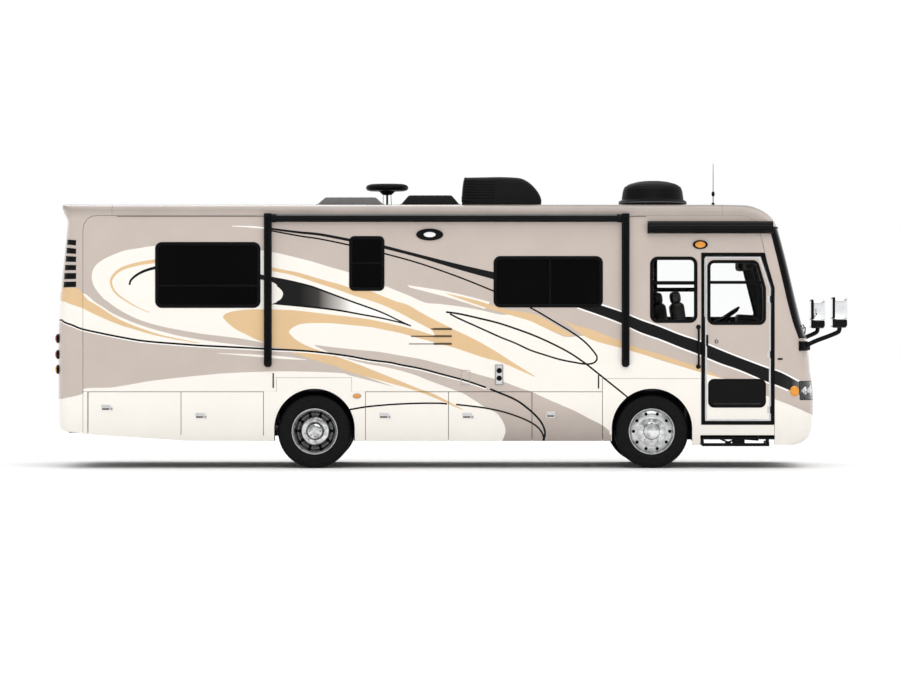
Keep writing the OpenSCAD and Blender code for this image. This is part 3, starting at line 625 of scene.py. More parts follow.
HOOK = (curve([(225, 320), (223, 317), (226, 313.5), (235, 311), (250, 309.5), (272, 309.5), (290, 310), (310, 312), (330, 314.5), (360, 318), (380, 321.5), (400, 326), (420, 331), (445, 339)])
        + curve([(445, 345), (420, 338.5), (400, 333), (385, 330), (370, 327), (350, 325), (335, 323.5), (320, 323), (305, 323.5), (298, 325), (292, 328), (289, 331.5), (290, 334), (295, 339),
                 (302, 343.5), (310, 347), (315, 349), (333, 355), (345, 359.5), (360, 365), (375, 371), (390, 377), (400, 381), (420, 389), (430, 392.5), (440, 397), (455, 405), (463, 409.5)])
        + curve([(463, 410), (445, 402.5), (430, 396), (412, 389.5), (395, 384.5), (380, 380.5), (365, 376.5), (350, 372), (335, 366), (320, 361.5), (305, 357), (295, 353.5), (285, 349), (272, 346.5),
                 (265, 343), (255, 339), (245, 334), (237, 330), (230, 325), (225, 320)])[:-1])
UP_GOLD = (curve([(265, 266), (285, 270), (300, 273), (320, 279), (340, 284.5), (355, 289), (370, 291), (380, 295), (395, 301), (408, 305), (420, 312), (435, 320), (455, 330), (470, 337), (485, 345),
                  (500, 354), (510, 360.5), (520, 366.8), (534, 375.6)])
           + curve([(535, 377), (525, 372.6), (515, 368.2), (500, 362), (485, 358), (470, 353), (455, 348), (440, 344)])
           + curve([(432, 330), (415, 321), (400, 313), (385, 306), (370, 300.5), (355, 296), (340, 290.5), (320, 284), (305, 279), (290, 274.5), (272, 271), (265, 269.5)]))
FIN_U = [(260, 274.5), (272, 277), (290, 280.5), (310, 285.5), (320, 289), (350, 300.5), (380, 311.5), (400, 321), (411, 326)]
FIN_L = [(258, 303), (272, 304), (300, 306.5), (320, 308.5), (340, 311), (360, 314.5), (380, 318), (400, 322.5), (411, 326)]
BROAD_U = [(600, 305), (621, 312), (640, 320), (660, 327), (680, 335), (701, 342), (720, 350), (740, 358), (768, 368.5), (777, 371), (795, 380)]
BROAD_L = [(577, 307), (600, 315), (621, 323), (640, 332), (660, 339), (680, 347), (701, 355), (720, 363), (740, 370), (768, 382), (777, 385), (800, 395)]
SWOOSH_U = [(315, 345), (340, 348), (360, 350), (380, 352), (400, 355.5), (420, 359), (440, 364), (460, 369), (480, 375), (500, 380.5), (520, 388), (532, 392), (545, 398), (560, 404.5), (575, 411),
            (590, 419), (602, 425), (609, 431), (611, 437), (611, 452)]
SWOOSH_L = [(315, 346), (335, 355), (355, 361), (370, 364.5), (385, 367), (400, 370.5), (415, 375), (430, 381), (445, 386.5), (462, 393), (470, 397.5), (480, 404), (486, 408), (495, 412), (500, 417), (504, 424),
            (505.5, 431), (504, 437), (501, 444), (499, 452)]
# Painted shapes from the lowest to the topmost: paint and outline
SHAPES = [
    ("paint_cream", curve(U_MAIN) + [(830, 470), (395, 470), (395, 387), (352, 372), (315, 358), (290, 350)] + curve(L_MAIN)[::-1][:-1]),
    ("paint_cream", curve(LOW_CREAM) + [(395, 470), (30, 470)]),
    ("paint_cream", band(STRIP_TOP, PIN[:15])),
    ("paint_gold", band([(30, 286), (62, 287), (76, 288), (80, 290), (83, 294), (88, 300), (95, 304), (105, 310.5), (115, 317), (125, 322), (140, 328), (160, 334.5), (180, 339), (200, 343)],
                        [(30, 300), (60, 301), (70, 304), (83, 308.5), (92, 313), (105, 319), (120, 325), (135, 329.5), (150, 334), (170, 338.5), (190, 342), (200, 343.4)])),
    ("paint_gold", stroke([(158, 260.8), (140, 263.5), (125, 267.5), (117, 272), (112, 278), (111, 283), (113, 289), (118, 295), (125, 300), (133, 305), (142, 309.5), (150, 312.5)], 3.8, 0.6)),
    ("paint_black", stroke([(158, 267), (147, 270), (140, 273), (134, 277), (130.5, 281), (129.5, 285)], 3.0, 1.8)),
    ("paint_cream", band([(217, 353), (250, 354.3), (280, 356), (306, 359.4)], [(217, 353.3), (250, 356.2), (280, 358.8), (306, 359.9)])),
    ("paint_gold", HOOK),
    ("paint_gold", UP_GOLD),
    ("paint_taupe", band(SWOOSH_U, SWOOSH_L)),
    ("paint_fin", band(FIN_U, FIN_L)),
    ("paint_black", stroke([(p[0], p[1] + 0.9 * (411 - p[0]) / 151) for p in FIN_U], 2.3, 1.3)),
    ("paint_black", stroke([(p[0], p[1] - 0.9 * (411 - p[0]) / 151) for p in FIN_L], 2.3, 1.3)),
    ("paint_cream", curve([(258, 279), (272, 282), (278, 286), (282, 290), (283.5, 294), (281.5, 299), (272, 304), (258, 306)])),
    ("paint_black", stroke([(277, 285.5), (282, 290), (283.5, 294), (281.5, 299), (277, 302)], 1.0)),
    ("paint_white", stroke([(232, 226), (250, 226.8), (266, 228)], 0.6, 2.0)),
    ("paint_black", stroke([(266, 228), (280, 230), (300, 232.5), (320, 234.5), (352, 240.5)], 1.9, 2.9)),
    ("paint_black", band([(380, 244.2), (420, 254.5), (460, 264.5), (496, 272.6)], [(380, 247.6), (420, 258), (460, 270), (496, 280)])),
    ("paint_black", stroke([(270, 230.5), (300, 236), (320, 239), (349, 245), (384, 253.5), (420, 263.5), (460, 277.5), (496, 292)], 1.6)),
    ("paint_cream", band([(407, 285), (450, 292), (490, 302)], [(410, 287.5), (450, 298), (485, 309)])),
    ("paint_gold", band([(445, 293), (475, 300), (505, 309), (530, 313), (545, 319), (555, 325), (573, 335)], [(447, 294), (470, 302.5), (490, 309), (510, 315), (530, 321), (545, 328), (567, 337)])),
    ("paint_gold", band([(560, 318), (575, 325), (590, 329), (600, 333), (621, 341), (645, 350), (660, 354), (680, 361), (700, 367), (722, 378)],
                        [(583, 335.5), (595, 341), (621, 348), (645, 355), (660, 359.5), (700, 372), (722, 378.4)])),
    ("paint_white", stroke([(p[0], p[1] + 1.5) for p in PIN], 1.0)),
    ("paint_black", stroke(PIN, 1.9)),
    ("paint_black", stroke([(490, 389), (500, 393), (512, 398), (520, 402.5), (526, 407), (532, 412), (537, 417), (541, 422), (544, 428), (545, 434), (543.5, 441), (541, 450)], 2.0)),
    ("paint_black", stroke([(348, 410), (365, 407), (385, 405), (400, 404), (420, 403.3), (440, 403.3), (447, 404)], 1.7)),
    ("paint_black", stroke([(456, 404.5), (470, 406), (485, 408), (500, 411), (512, 414.5), (525, 419.5), (535, 425), (541, 431), (543.5, 437), (543, 441)], 1.7)),
    ("paint_black", stroke([(446, 312), (460, 314), (480, 318.5), (500, 323.5), (525, 332), (540, 338), (555, 345), (570, 353), (582, 361), (590, 367), (600, 375), (610, 383), (620, 391), (629, 398.5)], 1.9, 1.7)),
    ("paint_black", stroke([(450, 314), (460, 319), (480, 328), (500, 337), (515, 343), (530, 350), (545, 355), (560, 359.5), (575, 362.5), (585, 364), (592, 363.5), (596, 361), (597, 357.5), (595.5, 354),
                            (592, 349.5), (587, 344), (580, 338), (570, 331), (560, 325), (550, 319), (540, 313), (530, 307.5)], 1.7)),
    ("paint_white", stroke([(p[0], p[1] - 0.9) for p in BROAD_U[:9]] + [(777, 370.4), (786, 374.2), (795, 379), (804, 383.6), (809, 388)], 1.5)),
    ("paint_white", stroke([(p[0], p[1] + 0.9) for p in BROAD_L[:10]] + [(777, 386), (788, 390.6)], 1.4)),
    ("paint_black", band(BROAD_U[:10], BROAD_L[:11])),
    ("paint_stripe_front", band([(768, 368.5), (777, 371), (786, 375), (795, 380), (812, 389)], [(768, 382), (777, 385), (788, 389.5), (800, 395), (812, 399)])),
]
SHAPES = [(m, [P(*q) for q in loop]) for m, loop in SHAPES]
BOXES = [(np.min(s, 0), np.max(s, 0)) for _, s in SHAPES]


def shapes_in(lo, hi):
    return [s for s, (a, b) in zip(SHAPES, BOXES) if a[0] < hi[0] and b[0] > lo[0] and a[1] < hi[1] and b[1] > lo[1]]


def clip_loop(loop, lo, hi):
    """The part of a loop inside a box, as a loop."""
    out = [tuple(p) for p in loop]
    for ax, lim, keep in ((0, lo[0], 1), (0, hi[0], -1), (1, lo[1], 1), (1, hi[1], -1)):
        src, out = out, []
        for a, b in zip(src, src[1:] + src[:1]):
            ia, ib = (a[ax] - lim) * keep >= 0, (b[ax] - lim) * keep >= 0
            if ia:
                out.append(a)
            if ia != ib:
                s = (lim - a[ax]) / (b[ax] - a[ax])
                out.append(tuple(a[k] + (b[k] - a[k]) * s for k in range(2)))
        if not out:
            return []
    return out


def painted_panel(outline, holes=(), y=1.219, t=0.035, base="paint_taupe", edge=0.004, tuck=None, inner="black_satin", levels=(), paintwork=True):
    """A flat panel on the right side with the stripes as parts of its face. edge eases its rim; tuck gives how far the face lies inwards at a height."""
    lo, hi = np.min(outline, 0) - 0.02, np.max(outline, 0) + 0.02
    used = []
    if paintwork:
        for m, loop in shapes_in(lo, hi):
            c = clip_loop(loop, lo, hi)
            if len(c) > 2:
                used.append((m, loop, c))
    rim = inset(outline, edge)
    rows = [[(lo[0], z), (hi[0], z + 1e-5), (hi[0], z)] for z in levels]
    v, f = mesh2([outline, rim] + [list(h) for h in holes] + [u[2] for u in used] + rows)
    cen = np.array([v[list(q)].mean(0) for q in f])
    ok = inside(cen, outline)
    for h in holes:
        ok &= ~inside(cen, h)
    f = [q for q, k in zip(f, ok) if k]
    cen = cen[ok]
    mats = np.array([base] * len(f), dtype=object)
    for m, loop, _ in used:
        mats[inside(cen, loop)] = m
    used_v = sorted(set(i for q in f for i in q))
    remap = {i: k for k, i in enumerate(used_v)}
    v = v[used_v]
    f = [tuple(remap[i] for i in q) for q in f]
    deep = on_loop(v, [outline]) * edge
    if tuck:
        deep = deep + np.array([tuck(z) for _, z in v])
    out3 = [(p[0], -y + d, p[1]) for p, d in zip(v, deep)]
    f = [q if area2([v[i] for i in q]) > 0 else tuple(reversed(q)) for q in f]
    k = Kit()
    k.add((out3, f), list(mats), smooth=False if not tuck else True)
    # rim and inner face
    count = {}
    for q in f:
        for a, b in zip(q, q[1:] + q[:1]):
            count[(a, b)] = True
    rim_e = [(a, b) for a, b in count if (b, a) not in count]
    ids = sorted(set(i for e in rim_e for i in e))
    back = {i: n for n, i in enumerate(ids)}
    inn = [(v[i][0], -y + t, v[i][1]) for i in ids]
    rim_v = [out3[i] for i in ids] + inn
    n = len(ids)
    k.add((rim_v, [(back[b], back[a], n + back[a], n + back[b]) for a, b in rim_e]), inner if inner else base, smooth=False)
    iv, if_ = mesh2([[tuple(p) for p in outline]] + [list(h) for h in holes], [tuple(v[i]) for i in ids])
    ic = np.array([iv[list(q)].mean(0) for q in if_])
    ok = inside(ic, outline)
    for h in holes:
        ok &= ~inside(ic, h)
    if_ = [q for q, g in zip(if_, ok) if g]
    if_ = [q if area2([iv[i] for i in q]) < 0 else tuple(reversed(q)) for q in if_]
    k.add(([(p[0], -y + t, p[1]) for p in iv], if_), inner if inner else base, smooth=False)
    return k

# ---------------------------------------------------------------- sizes shared with the frame, in metres
HALF_W, WALL_T, CAP_T, DOOR_T, GAP = 1.219, 0.045, 0.040, 0.035, 0.007
SEAM_Z, ARCH_R, ARCH_Z, AXLE_Z = 0.998, 0.522, 0.512, 0.478
REAR_X, FRONT_X = -1.755, 2.632
WALL_TOP, CROWN = 3.290, 3.448
# Front cap, from the lower edge to the roof seam: seam x, seam z, nose x, nose z, share of the depth where the side strip ends (mm)
FRONT_ROWS = [[4228, 303, 4540, 303, .30], [4228, 330, 4645, 335, .28], [4228, 420, 4742, 420, .28], [4228, 560, 4776, 563, .28], [4228, 760, 4785, 760, .28], [4228, 885, 4784, 885, .28],
              [4228, 1135, 4762, 1135, .28], [4228, 1250, 4745, 1250, .30], [4228, 1540, 4717, 1540, .45], [4228, 1690, 4686, 1700, .70], [4228, 1900, 4624, 1902, .62], [4228, 2120, 4566, 2123, .55],
              [4228, 2345, 4508, 2360, .47], [4131, 2680, 4430, 2690, .50], [4047, 3030, 4336, 3040, .50], [4031, 3125, 4304, 3140, .50], [3992, 3212, 4254, 3235, .50], [3900, 3268, 4152, 3337, .50],
              [3790, 3290, 4012, 3408, .50], [3680, 3290, 3880, 3440, .50], [3552, 3290, 3552, 3448, .50]]
# Rear cap: seam x, seam z, tail x, tail z (mm)
REAR_ROWS = [[-4768, 462, -5035, 478], [-4768, 482, -5095, 505], [-4768, 545, -5125, 555], [-4768, 640, -5138, 640], [-4768, 900, -5138, 900], [-4768, 1250, -5138, 1250], [-4768, 1500, -5138, 1500],
             [-4768, 1900, -5131, 1900], [-4768, 2190, -5117, 2190], [-4768, 2600, -5074, 2600], [-4768, 2960, -5032, 2980], [-4768, 3110, -5008, 3205], [-4752, 3180, -5058, 3330],
             [-4715, 3240, -5088, 3412], [-4655, 3278, -5070, 3446], [-4582, 3290, -4990, 3450], [-4480, 3290, -4700, 3449], [-4390, 3290, -4390, 3448]]


def smooth_knots(y):
    """A smooth curve through values at 0, 1, 2, ... that doesn't overshoot them."""
    y = np.asarray(y, float)
    d = np.diff(y)
    s = np.zeros(len(y))
    s[0], s[-1] = d[0], d[-1]
    for i in range(1, len(y) - 1):
        if d[i - 1] * d[i] > 0:
            s[i] = 2 * d[i - 1] * d[i] / (d[i - 1] + d[i])

    def f(r):
        r = np.clip(np.asarray(r, float), 0, len(y) - 1)
        i = np.minimum(r.astype(int), len(y) - 2)
        t = r - i
        return (y[i] * (1 + 2 * t) * (1 - t) ** 2 + s[i] * t * (1 - t) ** 2 + y[i + 1] * t * t * (3 - 2 * t) + s[i + 1] * t * t * (t - 1))
    return f


class Skin:
    """The curved face of a cap. a runs from 0 at the right side to 90 in the middle and 180 at the left side, r along the rows."""

    def __init__(self, rows):
        q = np.array([row[:4] for row in rows]) / 1000
        k = np.arange(len(q))
        self.n = len(q) - 1
        self.sx = lambda r: np.interp(r, k, q[:, 0])
        self.sz = lambda r: np.interp(r, k, q[:, 1])
        self.nx, self.nz = smooth_knots(q[:, 2]), smooth_knots(q[:, 3])
        self.sign = 1 if q[3, 2] > 0 else -1
        if len(rows[0]) > 4:
            sh = np.array([row[4] for row in rows])
            self.share = lambda r: np.interp(r, k, sh)

    def shares(self, a):
        a = np.radians(a)
        c, s = np.cos(a), np.sin(a)
        rho = (np.abs(c) ** 5 + np.abs(s) ** 5) ** -0.2
        return rho * c, rho * s

    def at(self, a, r, off=0.0):
        a, r = np.broadcast_arrays(np.asarray(a, float), np.asarray(r, float))
        l, f = self.shares(a)
        e = 0.02
        dx, dz = self.nx(r + e) - self.nx(r - e), self.nz(r + e) - self.nz(r - e)
        n = np.maximum(np.hypot(dx, dz), 1e-9)
        cx, cz = self.nx(r) + self.sign * dz / n * off, self.nz(r) - self.sign * dx / n * off
        sx, sz = self.sx(r), self.sz(r)
        return np.stack([sx + (cx - sx) * f, -(HALF_W + off) * l, sz + (cz - sz) * f], -1)

    def normal(self, a, r):
        a, r = np.broadcast_arrays(np.asarray(a, float), np.asarray(r, float))
        e, g = 0.15, 0.03
        a0, a1 = np.clip(a - e, 0, 180), np.clip(a + e, 0, 180)
        r0, r1 = np.clip(r - g, 0, self.n), np.clip(r + g, 0, self.n)
        da, dr = self.at(a1, r) - self.at(a0, r), self.at(a, r1) - self.at(a, r0)
        m = np.cross(da, dr) * self.sign
        return m / np.maximum(np.linalg.norm(m, axis=-1, keepdims=True), 1e-12)

    def angle_of(self, share):
        share = np.clip(share, 0, 1)
        return np.degrees(np.arctan2(share, (1 - share ** 5) ** 0.2))

    def find(self, x, z):
        """The a and r of points of the side view."""
        x, z = np.asarray(x, float), np.asarray(z, float)
        f = np.zeros_like(x)
        grid = np.linspace(0, self.n, 800)
        for _ in range(12):
            fc = np.clip(f, 0, 1)
            r = np.array([np.interp(zz, self.sz(grid) + (self.nz(grid) - self.sz(grid)) * ff, grid) for zz, ff in zip(z, fc)])
            f = (x - self.sx(r)) / (self.nx(r) - self.sx(r))
        a = np.where(f < 0, np.degrees(np.arctan(np.maximum(f, -0.3))), np.where(f >= 1, 95.0, self.angle_of(np.clip(f, 0, 1))))
        return a, r


FRONT, REAR = Skin(FRONT_ROWS), Skin(REAR_ROWS)
LAMP_A0 = float(FRONT.angle_of(0.28))


def old_angle(t):
    """The a of an angle in the frame's own measure of a cap."""
    t = math.radians(t)
    return math.degrees(math.atan2(math.sin(t) ** 0.4, math.cos(t) ** 0.4))


_t1 = math.degrees(math.asin(0.28 ** 2.5))
LAMP_A1 = old_angle(_t1 + 5 * (180 - 2 * _t1) / 14)
KA, KR = 2.0 / 90, 3.2 / 20              # how far a step in a and in r counts when meshing


def cap_half(skin, holes, base, base_low, shapes, grid_a, grid_r, inner="cabin_trim", dark_below=1.0):
    """The right half of a cap with its stripes, thickness and edges: a Kit with normals."""
    n = skin.n
    sc_ = lambda loop: [(p[0] * KA, p[1] * KR) for p in loop]
    outline = sc_([(0, 0), (90, 0), (90, n), (0, n)])
    hl = [sc_(clip_loop(h, (-0.0, 0.0), (90.0, float(n)))) for h in holes]
    used = []
    for m, loop in shapes:
        q = np.array(loop)
        a, r = skin.find(q[:, 0], q[:, 1])
        c = clip_loop(list(zip(a, r)), (0.0, 0.0), (90.0, float(n)))
        if len(c) > 2:
            used.append((m, sc_(c)))
    extra = [(a * KA, r * KR) for a in grid_a for r in grid_r]
    v, f = mesh2([outline] + hl + [u[1] for u in used], extra)
    cen = np.array([v[list(q)].mean(0) for q in f])
    ok = inside(cen, outline)
    for h in hl:
        ok &= ~inside(cen, h)
    f = [q for q, k in zip(f, ok) if k]
    cen = cen[ok]
    a, r = v[:, 0] / KA, v[:, 1] / KR
    out, nor = skin.at(a, r), skin.normal(a, r)
    inn = skin.at(a, r, -CAP_T)
    zc = skin.at(cen[:, 0] / KA, cen[:, 1] / KR)[:, 2]
    mats = np.where(zc < base_low[1], base_low[0], base).astype(object) if base_low else np.array([base] * len(f), dtype=object)
    for m, loop in used:
        mats[inside(cen, loop)] = m
    fl = [q if area2([v[i] for i in q]) > 0 else tuple(reversed(q)) for q in f]
    # outward order
    q = fl[len(fl) // 2]
    p0, p1, p2 = out[list(q)]
    if np.dot(np.cross(p1 - p0, p2 - p0), nor[q[0]]) < 0:
        fl = [tuple(reversed(q)) for q in fl]
    k = Kit()
    k.add((out, fl), list(mats), True)
    k.nor = [tuple(p) for p in nor]
    k.add((inn, [tuple(reversed(q)) for q in fl]), ["black_satin" if z < dark_below else inner for z in zc], True)
    k.nor += [tuple(-p) for p in nor]
    edges = set()
    for q in fl:
        for e in zip(q, q[1:] + q[:1]):
            edges.add(e)
    rim = [(i, j) for i, j in edges if (j, i) not in edges and not (abs(a[i] - 90) < 1e-4 and abs(a[j] - 90) < 1e-4)]
    ids = sorted(set(i for e in rim for i in e))
    pos = {i: m for m, i in enumerate(ids)}
    m = len(ids)
    rv = [tuple(out[i]) for i in ids] + [tuple(inn[i]) for i in ids]
    k.add((rv, [(pos[j], pos[i], m + pos[i], m + pos[j]) for i, j in rim]), "black_satin", False)
    k.nor += [(0, 0, 0)] * len(rv)
    return k


def both_halves(half):
    k = Kit()
    k.join(half)
    k.join(half.mirrored())
    k.nor = half.nor + [(x, -y, z) for x, y, z in half.nor]
    return k


def skin_patch(skin, a0, a1, na, r0, r1, nr, off=0.0):
    """A grid on a cap's face; a0 and a1 may change with r."""
    v, f = [], []
    for i in range(nr + 1):
        r = r0 + (r1 - r0) * i / nr
        lo = a0(r) if callable(a0) else a0
        hi = a1(r) if callable(a1) else a1
        v.extend(tuple(p) for p in skin.at(np.linspace(lo, hi, na + 1), r, off))
    for i in range(nr):
        for j in range(na):
            q = (i * (na + 1) + j, i * (na + 1) + j + 1, (i + 1) * (na + 1) + j + 1, (i + 1) * (na + 1) + j)
            f.append(q)
    if skin.sign < 0:
        f = [tuple(reversed(q)) for q in f]
    return v, f


def solid_patch(skin, a0, a1, na, r0, r1, nr, off, thick):
    """A closed plate that follows a cap's face."""
    v, f = skin_patch(skin, a0, a1, na, r0, r1, nr, off)
    w, _ = skin_patch(skin, a0, a1, na, r0, r1, nr, off - thick)
    n = len(v)
    g = [tuple(reversed([i + n for i in q])) for q in f]
    edges = set(e for q in f for e in zip(q, q[1:] + q[:1]))
    rim = [(j, i, i + n, j + n) for i, j in edges if (j, i) not in edges]
    return v + w, f + g + rim


# ---------------------------------------------------------------- front cap
screen_a = lambda r: float(FRONT.angle_of(FRONT.share(r)))
rr = np.linspace(9, 15, 49)
screen_hole = [(screen_a(r), r) for r in rr] + [(91, 15), (91, 9)]
lamp_hole = [(a, 5.0) for a in np.linspace(LAMP_A0, LAMP_A1, 13)] + [(a, 6.0) for a in np.linspace(LAMP_A1, LAMP_A0, 13)]
front_shapes = [s for s, (lo, hi) in zip(SHAPES, BOXES) if hi[0] > 4.20]
grid_a = list(np.arange(0, 90.1, 2.5))
half = cap_half(FRONT, [screen_hole, lamp_hole], "paint_taupe", None, front_shapes, grid_a, list(np.arange(0, 20.01, 0.25)))
kit = both_halves(half)
kit.make("front_cap_skin", COACH, "front_cap", normals=kit.nor)

# ---------------------------------------------------------------- rear cap
HATCH_A = float(np.degrees(np.arctan2((1 - 0.62 ** 5) ** 0.2, 0.62)))
hatch_hole = [(HATCH_A, 3), (91, 3), (91, 6), (HATCH_A, 6)]
rear_shapes = [s for s, (lo, hi) in zip(SHAPES, BOXES) if lo[0] < -4.74]
NOTCH_A = float(np.degrees(np.arctan2((1 - 0.4016 ** 5) ** 0.2, 0.4016)))
notch_hole = [(NOTCH_A, -0.5), (91, -0.5), (91, 2), (NOTCH_A + 1.5, 2), (NOTCH_A + 0.4, 1.9), (NOTCH_A, 1.6)]
half = cap_half(REAR, [hatch_hole, notch_hole], "paint_taupe", None, rear_shapes, grid_a, list(np.arange(0, 17.01, 0.25)))
kit = both_halves(half)
kit.make("rear_cap_skin", COACH, "rear_cap", normals=kit.nor)

# ---------------------------------------------------------------- roof
ang = np.concatenate([np.linspace(0, 30, 13), np.linspace(32, 60, 15), np.linspace(63, 90, 10)])
ang = np.concatenate([ang, 180 - ang[-2::-1]])
l_, f_ = FRONT.shares(ang)
xs = np.linspace(-4.3875, 3.5495, 40)
ro = [(x, -HALF_W * l, WALL_TOP + (CROWN - WALL_TOP) * f) for x in xs for l, f in zip(l_, f_)]
ri = [(x, -(HALF_W - CAP_T) * l, WALL_TOP + (CROWN - CAP_T - WALL_TOP) * f) for x in xs for l, f in zip(l_, f_)]
m = len(ang)
fo = [(i * m + j, (i + 1) * m + j, (i + 1) * m + j + 1, i * m + j + 1) for i in range(len(xs) - 1) for j in range(m - 1)]
kit = Kit()
kit.add((ro, fo), "paint_taupe")
kit.add((ri, [tuple(reversed(q)) for q in fo]), "cabin_trim")
for i in (0, len(xs) - 1):
    ring = [i * m + j for j in range(m)]
    q = [(j, j + 1, m + j + 1, m + j) for j in range(m - 1)]
    kit.add(([ro[p] for p in ring] + [ri[p] for p in ring], q if i == 0 else [tuple(reversed(p)) for p in q]), "black_satin", False)
for j in (0, m - 1):
    ids = [i * m + j for i in range(len(xs))]
    w = len(ids)
    q = [(i, i + 1, w + i + 1, w + i) for i in range(w - 1)]
    kit.add(([ro[p] for p in ids] + [ri[p] for p in ids], q if j else [tuple(reversed(p)) for p in q]), "black_satin", False)
kit.make("roof_skin", COACH, "roof", angle=30)

# ---------------------------------------------------------------- side walls
MM = lambda pts: [(x / 1000, z / 1000) for x, z in pts]


def round_poly(pts, r, n=7):
    """An anticlockwise outline with its corners rounded."""
    out, m = [], len(pts)
    for i in range(m):
        b = np.array(pts[i], float)
        u, v = np.array(pts[i - 1]) - b, np.array(pts[(i + 1) % m]) - b
        u, v = u / np.linalg.norm(u), v / np.linalg.norm(v)
        h = math.acos(np.clip(u @ v, -1, 1)) / 2
        c = b + (u + v) / np.linalg.norm(u + v) * r / math.sin(h)
        q = b + u * r / math.tan(h) - c
        a0 = math.degrees(math.atan2(q[1], q[0]))
        out.extend(arc2(c[0], c[1], r, a0, a0 + 180 - 2 * math.degrees(h), n))
    return out


def win_loop(w, d=0.0):
    """A window's outline from its table row in mm, moved inwards by d metres."""
    x0, x1, z0, z1, r = [q / 1000 for q in w[:5]]
    if len(w) > 5:
        rz, rx = w[5] / 1000, w[6] / 1000
        pts = [(x0, z0), (x1, z0), (x1, rz), (x1 - rx, z1), (x0, z1)]
        return round_poly(inset(pts, d), r - d)
    return round_poly([(x0 + d, z0 + d), (x1 - d, z0 + d), (x1 - d, z1 - d), (x0 + d, z1 - d)], r - d)


# Side windows: rear x, front x, lower z, upper z, corner radius (mm), then height where a rake begins and its depth
WINDOWS = [[-3828, -2457, 2084, 2942, 90], [-1306, -845, 2305, 3020, 70], [572, 1995, 2090, 2760, 90], [2606, 3224, 1889, 2753, 100]]
DRIVER_WIN = [2800, 4205, 1940, 2830, 90, 2050, 197]
DOOR_WIN = [3352, 4116, 1863, 2708, 90, 2343, 106]
tail = [(REAR_ROWS[i][0] + 3, REAR_ROWS[i][1] - 2.5) for i in range(15, 10, -1)]
brow = [(4044, 3030), (4028, 3125), (3989, 3212), (3897, 3268), (3787, 3289.5)]
foot = [(-4765, 998), (-2252, 998), (-2252, 1180), (-1271, 1180), (-1271, 998), (1986, 998), (1986, 1167)]
RIGHT_WALL = MM(foot + [(3273, 1167), (3273, 2802), (4098, 2802)] + brow + tail)
LEFT_WALL = MM(foot + [(4225, 1167), (4225, 2345), (4128, 2680)] + brow + tail)
painted_panel(RIGHT_WALL, [win_loop(w, 0.012) for w in WINDOWS], HALF_W, WALL_T, inner="cabin_trim").make("right_wall_panel", COACH, "right_wall", angle=25)
painted_panel(LEFT_WALL, [win_loop(w, 0.012) for w in WINDOWS[:3] + [DRIVER_WIN]], HALF_W, WALL_T, inner="cabin_trim").mirrored().make("left_wall_panel", COACH, "left_wall", angle=25)

# ---------------------------------------------------------------- lower fixed panels


def tuck(z):
    return 0.55 * max(0.0, 0.50 - z) ** 2


LEVELS = (0.50, 0.46, 0.42, 0.385)
arch = lambda x: [(x - 522, 355), (x - 522, 512)] + [(p[0], p[1]) for p in arc2(x, 512, 522, 180, 0, 40)][1:-1] + [(x + 522, 512)]
rear_arch = MM([(-2415, 355)] + arch(-1755) + [(-1233, 355), (-1095, 355), (-1095, 998), (-1274, 998), (-1274, 1177), (-2249, 1177), (-2249, 998), (-2415, 998)])
front_arch_r = MM([(1992, 355)] + arch(2632) + [(3154, 303), (3262, 303), (3262, 430), (4225, 430), (4225, 566), (3273, 566), (3273, 1164), (1992, 1164)])
front_arch_l = MM([(1992, 355)] + arch(2632) + [(3154, 303), (4225, 303), (4225, 1164), (1992, 1164)])
rear_strip = MM([(-4765, 440), (-4706, 440), (-4706, 995), (-4765, 995)])
GRILLE = (-4.40, -3.56, 0.535, 0.905)
rear_left = MM([(-4765, 440), (-3490, 360), (-2421, 355), (-2421, 995), (-4765, 995)])


def lower_panel(outline, holes=()):
    return painted_panel(outline, holes, HALF_W, DOOR_T, tuck=tuck, levels=LEVELS)


kit = Kit()
for q in (rear_arch, front_arch_r, rear_strip):
    kit.join(lower_panel(q))
for q, h in ((rear_arch, ()), (front_arch_l, ()), (rear_left, [rrect2(*GRILLE, 0.03)])):
    kit.join(lower_panel(q, h).mirrored())
# radiator grille on the left side: slats in a frame
x0, x1, z0, z1 = GRILLE
for i in range(13):
    z = z0 + 0.02 + (z1 - z0 - 0.04) * i / 12
    kit.add(rbox((x0 + 0.004, HALF_W - 0.026, z - 0.006), (x1 - 0.004, HALF_W - 0.006, z + 0.006), 0.003), "black_satin")
for i in range(1, 4):
    x = x0 + (x1 - x0) * i / 4
    kit.add(rbox((x - 0.005, HALF_W - 0.030, z0), (x + 0.005, HALF_W - 0.012, z1), 0.002), "black_satin")
kit.add(rbox((x0 - 0.01, HALF_W - 0.034, z0 - 0.01), (x1 + 0.01, HALF_W - 0.030, z1 + 0.01), 0.001), "black_matt")
# black lips of the wheel arches
for x in (REAR_X, FRONT_X):
    for s in (-1, 1):
        path = [(x - ARCH_R + 0.004, s * (HALF_W - 0.012), 0.36), (x - ARCH_R + 0.004, s * (HALF_W - 0.005), 0.45)] + [(p[0], s * (HALF_W - 0.003), p[1]) for p in arc2(x, ARCH_Z, ARCH_R - 0.004, 180, 0, 44)]
        path += [(x + ARCH_R - 0.004, s * (HALF_W - 0.005), 0.45), (x + ARCH_R - 0.004, s * (HALF_W - 0.012), 0.36)]
        kit.add(tube(path, 0.0065, 8), "black_satin")
kit.make("lower_panels", COACH, "skirts", angle=25)

# ---------------------------------------------------------------- storage bay doors with paddle latches
# Rear end x, front end x, lower rear z, lower front z (mm), and the latch's place in the side view
BAYS = [[-4699, -3490, 442, 364, 107, 408], [-3490, -2418, 360, 355, 201, 416], [-1092, -13, 355, 355, 385, 416], [-13, 1072, 355, 355, 468, 416], [1072, 1989, 355, 355, 552, 415]]


